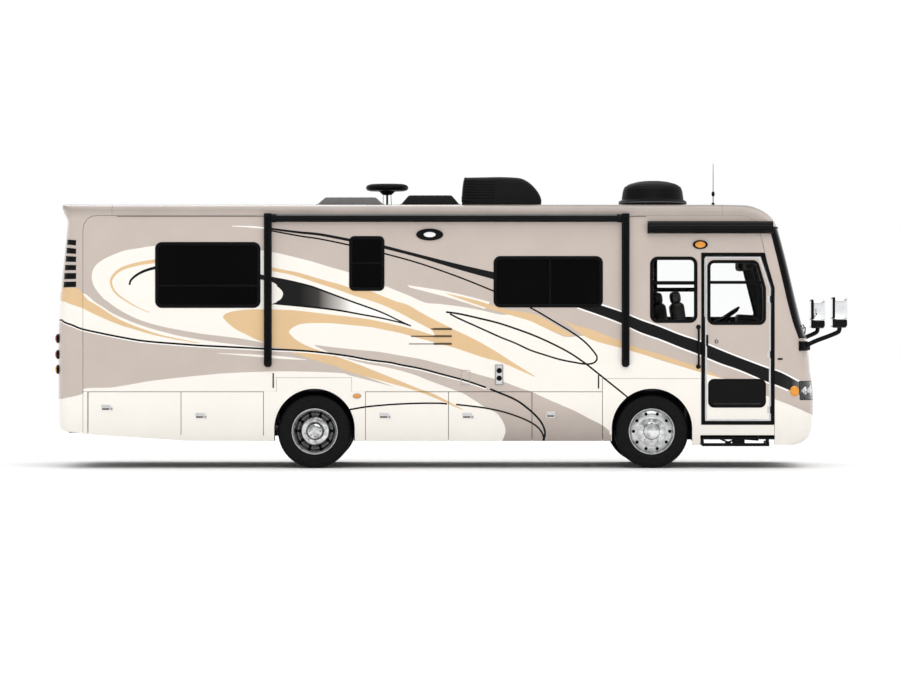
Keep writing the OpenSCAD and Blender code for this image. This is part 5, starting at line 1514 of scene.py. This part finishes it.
# utility hatch, dark marks beside the panels
(xa, za), (xb, zb) = P(461, 385), P(470, 370)
kit.add(loft([at_y(rrect2(xa, xb, za, zb, 0.012), y), at_y(rrect2(xa, xb, za, zb, 0.012), y - 0.003), at_y(rrect2(xa + 0.006, xb - 0.006, za + 0.006, zb - 0.006, 0.008), y - 0.003), at_y(rrect2(xa + 0.006, xb - 0.006, za + 0.006, zb - 0.006, 0.008), y)]), "grey_plastic")
for px, p0, p1 in ((273.2, 373, 388), (598.5, 375, 388.5)):
    (xa, za), (xb, zb) = P(px - 0.7, p1), P(px + 0.7, p0)
    kit.add(rbox((xa, y - 0.004, za), (xb, y + 0.001, zb), 0.002), "dark_grey")
# small side marker on the front cap
c = FRONT.at(*[float(q[0]) for q in FRONT.find(np.array([P(780.2, 0)[0]]), np.array([P(0, 359)[1]]))])
kit.add(rbox((c[0] - 0.032, c[1] - 0.008, c[2] - 0.012), (c[0] + 0.032, c[1] + 0.006, c[2] + 0.012), 0.005), "black_satin")
# air inlet with slats, low on the front
v, f = solid_patch(FRONT, 64, 116, 40, 2.04, 2.90, 8, 0.0015, 0.008)
kit.add((v, f), "black_matt")
for i in range(5):
    r = 2.14 + 0.165 * i
    v, f = solid_patch(FRONT, 64.6, 115.4, 40, r - 0.028, r + 0.028, 1, 0.0065, 0.008)
    kit.add((v, f), "black_satin")
for lo, hi, r0, r1 in ((63.4, 116.6, 2.0, 2.06), (63.4, 116.6, 2.88, 2.94), (63.4, 64.4, 2.0, 2.94), (115.6, 116.6, 2.0, 2.94)):
    v, f = solid_patch(FRONT, lo, hi, 40 if hi - lo > 5 else 1, r0, r1, 6 if r1 - r0 > 0.5 else 1, 0.007, 0.009)
    kit.add((v, f), "black_trim")
# raised lips of the wheel arches, painted with the body
for cx in (REAR_X, FRONT_X):
    for s in (-1, 1):
        rings = []
        for rr_, dy in ((0.5235, 0.004), (0.5235, -0.004), (0.530, -0.006), (0.551, -0.005), (0.558, 0.0015)):
            pts = [(cx - rr_, 0.372), (cx - rr_, 0.44)] + arc2(cx, ARCH_Z, rr_, 180, 0, 220) + [(cx + rr_, 0.44), (cx + rr_, 0.372)]
            rings.append([(px_, s * (HALF_W - dy - (0.004 + tuck(pz) if pz < 0.5 else 0)), pz) for px_, pz in pts])
        n = len(rings[0])
        v = [p for q in rings for p in q]
        f = [(i * n + j, i * n + j + 1, (i + 1) * n + j + 1, (i + 1) * n + j) for i in range(len(rings) - 1) for j in range(n - 1)]
        cen = np.array([np.mean([v[i] for i in q], 0)[[0, 2]] for q in f])
        mats = np.array(["paint_cream"] * len(f), dtype=object)
        for m, loop in SHAPES:
            mats[inside(cen, loop)] = m
        kit.add((v, f if s > 0 else [tuple(reversed(q)) for q in f]), list(mats))
# louvres on the sides of the rear cap
for p0, p1, left in ((240.5, 245.5, 66.5), (249, 254, 65.7), (257, 262, 65), (265.5, 270.2, 64.2), (273.5, 279, 63.5), (282, 287, 63)):
    for s in (0, 1):
        z0, z1 = P(0, p1)[1], P(0, p0)[1]
        xa, xb = P(76, 0)[0], P(left, 0)[0]
        (aa, ra), (ab, rb) = REAR.find(np.array([xa, xb]), np.array([z0, z0])), REAR.find(np.array([xa, xb]), np.array([z1, z1]))
        v, f = solid_patch(REAR, float(aa[0]), float(aa[1]), 10, float(ra[0]), float(rb[0]), 2, 0.0022, 0.006)
        k = Kit()
        k.add((v, f), "black_gloss", False)
        v, f = solid_patch(REAR, float(aa[0]), float(aa[1]), 10, float(rb[0]) - 0.015, float(rb[0]) + 0.01, 1, 0.007, 0.008)
        k.add((v, f), "black_satin", True)
        kit.join(k.mirrored() if s else k)
kit.make("wall_fittings", COACH, angle=35)

# ---------------------------------------------------------------- wheels
# Half of a tyre's section: radius, half width
TYRE_HALF = [(0.287, 0.099), (0.303, 0.099), (0.308, 0.1165), (0.322, 0.1205), (0.345, 0.128), (0.350, 0.1295), (0.356, 0.1285), (0.385, 0.1305), (0.400, 0.131), (0.415, 0.1302), (0.420, 0.1312), (0.426, 0.1296), (0.440, 0.127), (0.455, 0.121), (0.464, 0.116), (0.4715, 0.108), (0.475, 0.103)]
CROWN_ = [(0.4775, 0.092), (0.4775, 0.068), (0.466, 0.066), (0.466, 0.056), (0.478, 0.054), (0.478, 0.031), (0.466, 0.029), (0.466, 0.019), (0.478, 0.017)]


def tyre(kit, cx, cy, s):
    """A tyre with circumferential grooves and cut shoulders."""
    prof = TYRE_HALF + CROWN_
    prof = prof + [(r, -w) for r, w in reversed(prof)]
    prof.append(prof[0])
    seg = 180
    v, f = lathe(prof, seg, frame_to((cx, cy, AXLE_Z), (0, s, 0)))
    n = len(TYRE_HALF)
    m = len(prof) - 1
    for ring in (n - 2, n - 1, n, m - n + 1, m - n, m - n - 1):
        for i in range(seg):
            if i % 3 == 0:
                k = ring * seg + i
                x, yy, z = v[k]
                d = 1 - 0.007 / 0.475
                v[k] = (cx + (x - cx) * d, yy, AXLE_Z + (z - AXLE_Z) * d)
    kit.add((v, f), "tyre")


def holed_disc(r0, r1, hole_r, hole_at, count, prof, t, seg=96):
    """A disc with a ring of round holes; prof gives the height at a radius, t the thickness downwards."""
    circ = lambda r, n, cx=0.0, cz=0.0: [(cx + r * math.cos(2 * math.pi * i / n), cz + r * math.sin(2 * math.pi * i / n)) for i in range(n)]
    holes = [circ(hole_r, 20, hole_at * math.cos(2 * math.pi * k / count), hole_at * math.sin(2 * math.pi * k / count)) for k in range(count)]
    outer, inn = circ(r1, seg), circ(r0, seg)
    mids = [circ(r, seg) for r in np.linspace(r0, r1, 6)[1:-1]]
    pts = [p for loop in mids for p in loop if all(math.hypot(p[0] - h[0][0] + hole_r, p[1] - h[0][1]) > hole_r * 0.2 for h in holes)]
    v, f = mesh2([outer, inn] + holes, pts)
    cen = np.array([v[list(q)].mean(0) for q in f])
    ok = inside(cen, outer) & ~inside(cen, inn)
    for h in holes:
        ok &= ~inside(cen, h)
    f = [q if area2([v[i] for i in q]) > 0 else tuple(reversed(q)) for q, k in zip(f, ok) if k]
    hgt = [prof(math.hypot(*p)) for p in v]
    n = len(v)
    verts = [(p[0], p[1], h) for p, h in zip(v, hgt)] + [(p[0], p[1], h - t) for p, h in zip(v, hgt)]
    edges = set(e for q in f for e in zip(q, q[1:] + q[:1]))
    rim = [(j, i, i + n, j + n) for i, j in edges if (j, i) not in edges]
    return verts, f + [tuple(reversed([i + n for i in q])) for q in f] + rim


def nut(r=0.0165, h=0.026):
    """A wheel nut: six sides with a domed top."""
    ring = lambda q, z, n=6: [(q * math.cos(math.pi * 2 * i / n), q * math.sin(math.pi * 2 * i / n), z) for i in range(n)]
    v = ring(r * 1.25, 0) + ring(r * 1.25, 0.004) + ring(r, 0.0045) + ring(r, h * 0.8) + ring(r * 0.8, h) + [(0, 0, h * 1.06)]
    f = [(i * 6 + j, i * 6 + (j + 1) % 6, (i + 1) * 6 + (j + 1) % 6, (i + 1) * 6 + j) for i in range(4) for j in range(6)] + [(24 + j, 24 + (j + 1) % 6, 30) for j in range(6)]
    return v, f


BARREL = [(0.2625, -0.112), (0.298, -0.112), (0.3005, -0.109), (0.3005, -0.102), (0.287, -0.098), (0.2865, 0.098), (0.3005, 0.102), (0.3005, 0.109), (0.298, 0.1125), (0.290, 0.1125), (0.284, 0.106), (0.276, 0.098), (0.2695, 0.090), (0.266, 0.070), (0.2625, 0.05), (0.2625, -0.112)]


def front_rim(kit, cx, cy, s):
    """A polished disc with hand holes and a bright hub cover; s is the outward side."""
    xf = frame_to((cx, cy, AXLE_Z), (0, s, 0))
    kit.add(lathe(BARREL, 96, xf), "alloy")
    prof = lambda r: 0.076 + 0.016 * math.sin(math.pi * min(1, max(0, (r - 0.165) / 0.105))) + 0.010 * max(0, (0.20 - r) / 0.035)
    kit.add(holed_disc(0.160, 0.270, 0.0215, 0.236, 10, prof, 0.012), "alloy", xf=xf)
    # bright nuts in a ring, the flange inside them and the hub cover
    kit.add(lathe([(0.178, 0.070), (0.181, 0.088), (0.179, 0.093), (0.168, 0.096), (0.120, 0.097), (0.112, 0.099), (0.106, 0.104), (0.103, 0.116), (0.098, 0.122), (0.060, 0.1265), (0.030, 0.1285), (0, 0.129)][::-1], 96, xf), "chrome_wheel")
    for k in range(10):
        a = 2 * math.pi * (k + 0.5) / 10
        kit.add(nut(), "chrome_wheel", False, xf @ Matrix.Translation((0.1429 * math.cos(a), 0.1429 * math.sin(a), 0.0965)))
    kit.add(lathe([(0.262, -0.03), (0.20, -0.028), (0.115, -0.02), (0.115, 0.074), (0.155, 0.077)], 64, xf), "black_matt")
    kit.add(lathe([(0.0402, 0.012), (0.112, 0.012), (0.112, -0.012), (0.0402, -0.012), (0.0402, 0.012)], 48, xf), "steel_dark")


def rear_rims(kit, cx, s):
    """Twin rims: the outer one dished, with the hub, nuts and hand holes deep inside."""
    xo, xi = frame_to((cx, s * 1.060, AXLE_Z), (0, s, 0)), frame_to((cx, s * 0.748, AXLE_Z), (0, s, 0))
    kit.add(lathe(BARREL, 96, xo), "alloy")
    kit.add(lathe([(r, -h) for r, h in reversed(BARREL)], 96, xi), "steel_dark")
    # dish wall running in from the lip, then the plate, both in the darker dish metal: painted shade for the deep dish
    kit.add(lathe([(0.2645, 0.060), (0.2615, 0.02), (0.256, -0.04), (0.246, -0.070), (0.232, -0.086)], 96, xo), "dish")
    prof = lambda r: -0.088 + 0.022 * max(0, min(1, (0.205 - r) / 0.035))
    kit.add(holed_disc(0.100, 0.236, 0.0235, 0.210, 10, prof, 0.012), "dish", xf=xo)
    kit.add(lathe([(0.180, -0.076), (0.178, -0.068), (0.170, -0.0645), (0.120, -0.064)][::-1], 96, xo), "chrome_wheel")
    kit.add(lathe([(0.262, -0.104), (0.10, -0.104)], 64, xo), "black_matt")
    for k in range(10):
        a = 2 * math.pi * (k + 0.5) / 10
        kit.add(nut(0.0165, 0.030), "chrome_wheel", False, xo @ Matrix.Translation((0.1429 * math.cos(a), 0.1429 * math.sin(a), -0.066)))
    kit.add(lathe([(0.118, -0.072), (0.117, -0.062), (0.108, -0.056), (0.100, -0.030), (0.098, 0.030), (0.092, 0.046), (0.078, 0.052), (0.040, 0.0545), (0, 0.055)][::-1], 72, xo), "chrome_wheel")
    for k in range(8):
        a = 2 * math.pi * k / 8
        kit.add(nut(0.008, 0.010), "steel_dark", False, xo @ Matrix.Translation((0.070 * math.cos(a), 0.070 * math.sin(a), 0.0525)))
    # inner wheel's plate and the hub between the two
    kit.add(lathe([(0.262, 0.100), (0.115, 0.100), (0.115, 0.190), (0.0452, 0.190), (0.0452, 0.062), (0.115, 0.062), (0.118, 0.088), (0.262, 0.088)], 72, xi), "steel_dark")


for side, s in (("right", -1), ("left", 1)):
    k = Kit()
    tyre(k, FRONT_X, s * 1.055, s)
    k.make(f"front_{side}_tread", f"front_{side}_wheel", f"front_{side}_tyre", angle=32)
    k = Kit()
    front_rim(k, FRONT_X, s * 1.055, s)
    k.make(f"front_{side}_disc", f"front_{side}_wheel", f"front_{side}_rim", angle=38)
    k = Kit()
    tyre(k, REAR_X, s * 1.060, s)
    tyre(k, REAR_X, s * 0.748, s)
    k.make(f"rear_{side}_treads", f"rear_{side}_wheels", f"rear_{side}_tyres", angle=32)
    k = Kit()
    rear_rims(k, REAR_X, s)
    k.make(f"rear_{side}_discs", f"rear_{side}_wheels", f"rear_{side}_rims", angle=38)

# ---------------------------------------------------------------- engine hatch
kit = Kit()
w, b, top = 0.62 * HALF_W - GAP, 0.647, 1.493
xo = -5.136
loop = lambda d, r: rrect2(-w + d, w - d, b + d, top - d, r, 4)
to_rear = Matrix(((0, 1, 0, 0), (1, 0, 0, 0), (0, 0, 1, 0), (0, 0, 0, 1)))
GR = (-w + 0.09, w - 0.09, 0.76, 1.18)
ga = rrect2(*GR, 0.02, 4)
v, f = mesh2([loop(0, 0.012), loop(0.004, 0.010), ga])
cen = np.array([v[list(q)].mean(0) for q in f])
ok = inside(cen, loop(0, 0.012)) & ~inside(cen, ga)
f = [q if area2([v[i] for i in q]) > 0 else tuple(reversed(q)) for q, k in zip(f, ok) if k]
deep = on_loop(v, [loop(0, 0.012)]) * 0.004
kit.add(([(p[0], xo + d, p[1]) for p, d in zip(v, deep)], f), "paint_taupe", False, to_rear)
kit.add(loft([at_y(loop(0, 0.012), xo + 0.004), at_y(loop(0, 0.012), xo + 0.034)]), "black_satin", False, to_rear)
kit.add(loft([at_y(ga, xo), at_y(ga, xo + 0.012)][::-1]), "black_satin", False, to_rear)
kit.add(([(p[0], xo + 0.034, p[1]) for p in mesh2([loop(0, 0.012)])[0]], [tuple(reversed(q)) if area2([mesh2([loop(0, 0.012)])[0][i] for i in q]) > 0 else q for q in mesh2([loop(0, 0.012)])[1]]), "black_satin", False, to_rear)
kit.add(([(p[0], xo + 0.0125, p[1]) for p in mesh2([ga])[0]], [q if area2([mesh2([ga])[0][i] for i in q]) > 0 else tuple(reversed(q)) for q in mesh2([ga])[1]]), "black_matt", False, to_rear)
for i in range(11):
    z = 0.785 + 0.037 * i
    kit.add(rbox((xo - 0.001, GR[0] + 0.006, z - 0.009), (xo + 0.010, GR[1] - 0.006, z + 0.009), 0.004), "black_satin")
for yy in (-0.22, 0.22):
    kit.add(rbox((xo + 0.001, yy - 0.006, 0.765), (xo + 0.0115, yy + 0.006, 1.175), 0.002), "black_satin")
# blank plate and the pull at the lower edge
kit.add(rbox((xo - 0.004, -0.155, 1.235), (xo + 0.004, 0.155, 1.395), 0.003, 2), "paint_white")
kit.add(rbox((xo - 0.010, -0.075, 0.672), (xo + 0.004, 0.075, 0.712), 0.006, 3), "black_satin")
kit.make("engine_hatch_panel", "engine_hatch", "engine_hatch", angle=25)

# ---------------------------------------------------------------- cab: dashboard
kit = Kit()
kit.add(rbox((4.130, -1.055, 1.102), (4.495, 1.055, 1.640), 0.02, 3), "dash")
kit.add(rbox((4.002, -1.058, 1.565), (4.518, 1.058, 1.689), 0.045, 5), "dash")
hood_pts = [(3.882, 1.700), (4.040, 1.645), (4.245, 1.645), (4.245, 1.700), (4.140, 1.950), (4.080, 2.003), (3.902, 2.013), (3.882, 1.990)]
sec = round_poly(hood_pts, 0.008, 4)
kit.add(loft([at_y(inset(sec, 0.03), 0.352), at_y(inset(sec, 0.006), 0.362), at_y(sec, 0.385), at_y(sec, 0.815), at_y(inset(sec, 0.006), 0.838), at_y(inset(sec, 0.03), 0.848)]), "dash")
for yy, o in ((0.352, 1), (0.848, -1)):
    v, f = mesh2([inset(sec, 0.03)])
    kit.add(([(p[0], yy, p[1]) for p in v], [q if area2([v[i] for i in q]) * o > 0 else tuple(reversed(q)) for q in f]), "dash", False)
# instruments facing the driver
for yy, rad in ((0.47, 0.052), (0.60, 0.062), (0.73, 0.052)):
    q = frame_to((3.884, yy, 1.86), (-1, 0, 0.08))
    kit.add(lathe([(0, 0.001), (rad * 0.86, 0.001), (rad * 0.9, 0.007), (rad, 0.007), (rad * 1.02, -0.006)], 36, q), "black_gloss")
    kit.add(rbox((-0.003, -rad * 0.7, 0.0015), (0.003, rad * 0.15, 0.003), 0.001, 1), "lens_white", xf=q @ Matrix.Rotation(0.6, 4, "Z"))
for i in range(4):
    yy = -0.75 + 0.42 * i
    kit.add(rbox((3.994, yy, 1.590), (4.010, yy + 0.24, 1.655), 0.008, 3), "black_satin")
axis = Vector((-math.sin(math.radians(34)), 0, math.cos(math.radians(34))))
wc = Vector((3.725, 0.600, 1.980))
kit.add(rod(wc - axis * 0.958, wc - axis * 0.20, 0.044, 24), "black_satin")
kit.add(rod(wc - axis * 0.30, wc - axis * 0.085, 0.044, 24), "dash")
kit.make("dash_assembly", COACH, "dashboard", angle=40)

kit = Kit()
xf = frame_to(wc, axis)
ring = [(0.222 + 0.016 * math.cos(a), 0.016 * math.sin(a)) for a in np.linspace(0, 2 * math.pi, 17)]
ring[-1] = ring[0]
kit.add(lathe(ring, 72, xf), "black_satin")
kit.add(lathe([(0.062, -0.072), (0.062, -0.040), (0.056, -0.022), (0.040, -0.013), (0, -0.0115)][::-1], 40, xf), "black_satin")
for k in range(4):
    a = math.pi / 2 * k
    p = lambda r, h: tuple(xf @ Vector((r * math.cos(a), r * math.sin(a), h)))
    kit.add(tube(curve([p(0.045, -0.030), p(0.12, -0.031), p(0.185, -0.026), p(0.214, -0.004)], 6), 0.0125, 10, flat=0.7), "dark_grey")
kit.add(rod(wc - axis * 0.194, wc - axis * 0.06, 0.0158, 20), "steel_dark")
kit.make("steering_ring", "steering_wheel", "steering_wheel", angle=40)

# ---------------------------------------------------------------- cab seats: frames, then padded parts


def puff(name, shape, steps=20):
    """Turns a stuffed part's mesh into soft upholstery: it is remeshed, blown up as cloth and evened out."""
    v, f = shape
    me = bpy.data.meshes.new(name)
    me.from_pydata([tuple(p) for p in v], [], f)
    ob = bpy.data.objects.new(name, me)
    sc.collection.objects.link(ob)
    me.materials.append(MATS["leather"])
    for o in bpy.context.selected_objects:
        o.select_set(False)
    bpy.context.view_layer.objects.active = ob
    ob.select_set(True)
    rm = ob.modifiers.new("remesh", "REMESH")
    rm.mode, rm.voxel_size = "VOXEL", 0.0125
    bpy.ops.object.modifier_apply(modifier=rm.name)
    base = np.array([q.co[:] for q in ob.data.vertices])
    cl = ob.modifiers.new("cloth", "CLOTH")
    st = cl.settings
    st.use_pressure, st.uniform_pressure_force = True, 4.0
    st.effector_weights.gravity = 0.0
    st.quality = 5
    st.tension_stiffness = st.compression_stiffness = 18
    st.bending_stiffness = 1.2
    cl.point_cache.frame_start, cl.point_cache.frame_end = 1, steps
    for k in range(1, steps + 1):
        sc.frame_set(k)
    dep = bpy.context.evaluated_depsgraph_get()
    ev = ob.evaluated_get(dep)
    new = np.array([q.co[:] for q in ev.data.vertices])
    ob.modifiers.remove(cl)
    sc.frame_set(1)
    d = new - base
    n = np.linalg.norm(d, axis=1, keepdims=True)
    d *= np.minimum(1, 0.024 / np.maximum(n, 1e-9))
    for q, p in zip(ob.data.vertices, base + d):
        q.co = p
    sub = ob.modifiers.new("sub", "SUBSURF")
    sub.levels = sub.render_levels = 1
    bpy.ops.object.modifier_apply(modifier=sub.name)
    ob.data.polygons.foreach_set("use_smooth", [True] * len(ob.data.polygons))
    ob.data.update()
    return ob


def moved(shape, m):
    return [tuple(m @ Vector(p)) for p in shape[0]], shape[1]


frame_k = Kit()
pads = []
for i, (x, yc) in enumerate(((2.975, -0.600), (2.810, 0.600))):
    m = Matrix.Translation((x, yc, 0))
    frame_k.add(rbox((0.06, -0.185, 1.101), (0.32, 0.185, 1.135), 0.012, 2), "black_satin", xf=m)
    frame_k.add(rbox((0.09, -0.150, 1.130), (0.29, 0.150, 1.400), 0.03, 3), "black_satin", xf=m)
    frame_k.add(rbox((0.07, -0.235, 1.395), (0.585, 0.235, 1.438), 0.015, 2), "black_satin", xf=m)
    back = m @ Matrix.Translation((0.130, 0, 1.560)) @ Matrix.Rotation(math.radians(-8), 4, "Y")
    for s in (-1, 1):
        frame_k.add(rod(tuple(back @ Vector((-0.040, s * 0.06, 0.56))), tuple(back @ Vector((-0.040, s * 0.06, 0.66))), 0.008, 12), "chrome_wheel")
        # armrest on its bracket
        frame_k.add(rbox((0.06, s * 0.262 - 0.025, 1.70), (0.42, s * 0.262 + 0.025, 1.755), 0.022, 4), "leather", xf=m)
        frame_k.add(rod(tuple(m @ Vector((0.09, s * 0.236, 1.72))), tuple(m @ Vector((0.09, s * 0.262, 1.72))), 0.02, 14), "black_satin")
    pads.append(puff(f"seat_cushion_{i}", moved(rbox((0.085, -0.235, 1.448), (0.578, 0.235, 1.572), 0.045, 4), m)))
    pads.append(puff(f"seat_back_{i}", moved(rbox((-0.105, -0.232, 0.03), (0.032, 0.232, 0.640), 0.050, 4), back)))
    pads.append(puff(f"seat_head_{i}", moved(rbox((-0.103, -0.168, 0.596), (0.027, 0.168, 0.757), 0.048, 4), back)))
seat_frames = frame_k.make("seat_frames", COACH, angle=40)
for ob in pads:
    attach(ob, COACH)
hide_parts("cab_seats")

# ---------------------------------------------------------------- cab trim seen through the glass
kit = Kit()
for s in (-1, 1):
    # sun visors
    kit.add(rbox((3.885, s * 0.60 - 0.30, 2.600), (4.035, s * 0.60 + 0.30, 2.765), 0.045, 5), "cabin_trim")
kit.make("cab_trim", COACH, angle=40)

# ---------------------------------------------------------------- finishes of the pieces taken over as they are
KEEP = {"chassis_frame": "frame_paint", "floor": "deck", "stepwell": "liner", "storage_bays": "tray", "wheel_wells": "liner", "front_axle": "iron", "rear_axle": "iron", "air_springs": "bellows",
        "engine": "iron", "drive_shaft": "steel_dark", "fuel_tank": "aluminium", "right_knuckle": "iron", "left_knuckle": "iron"}
for name, mat in KEEP.items():
    ob = NODES[name]
    ob.data.materials.clear()
    ob.data.materials.append(MATS[mat])
    ob.data.polygons.foreach_set("material_index", [0] * len(ob.data.polygons))

# ---------------------------------------------------------------- floor
me = bpy.data.meshes.new("ground")
g = 160.0
me.from_pydata([(-g, -g, 0), (g, -g, 0), (g, g, 0), (-g, g, 0)], [], [(0, 1, 2, 3)])
ground = bpy.data.objects.new("ground", me)
sc.collection.objects.link(ground)
me.materials.append(MATS["floor_stage"])
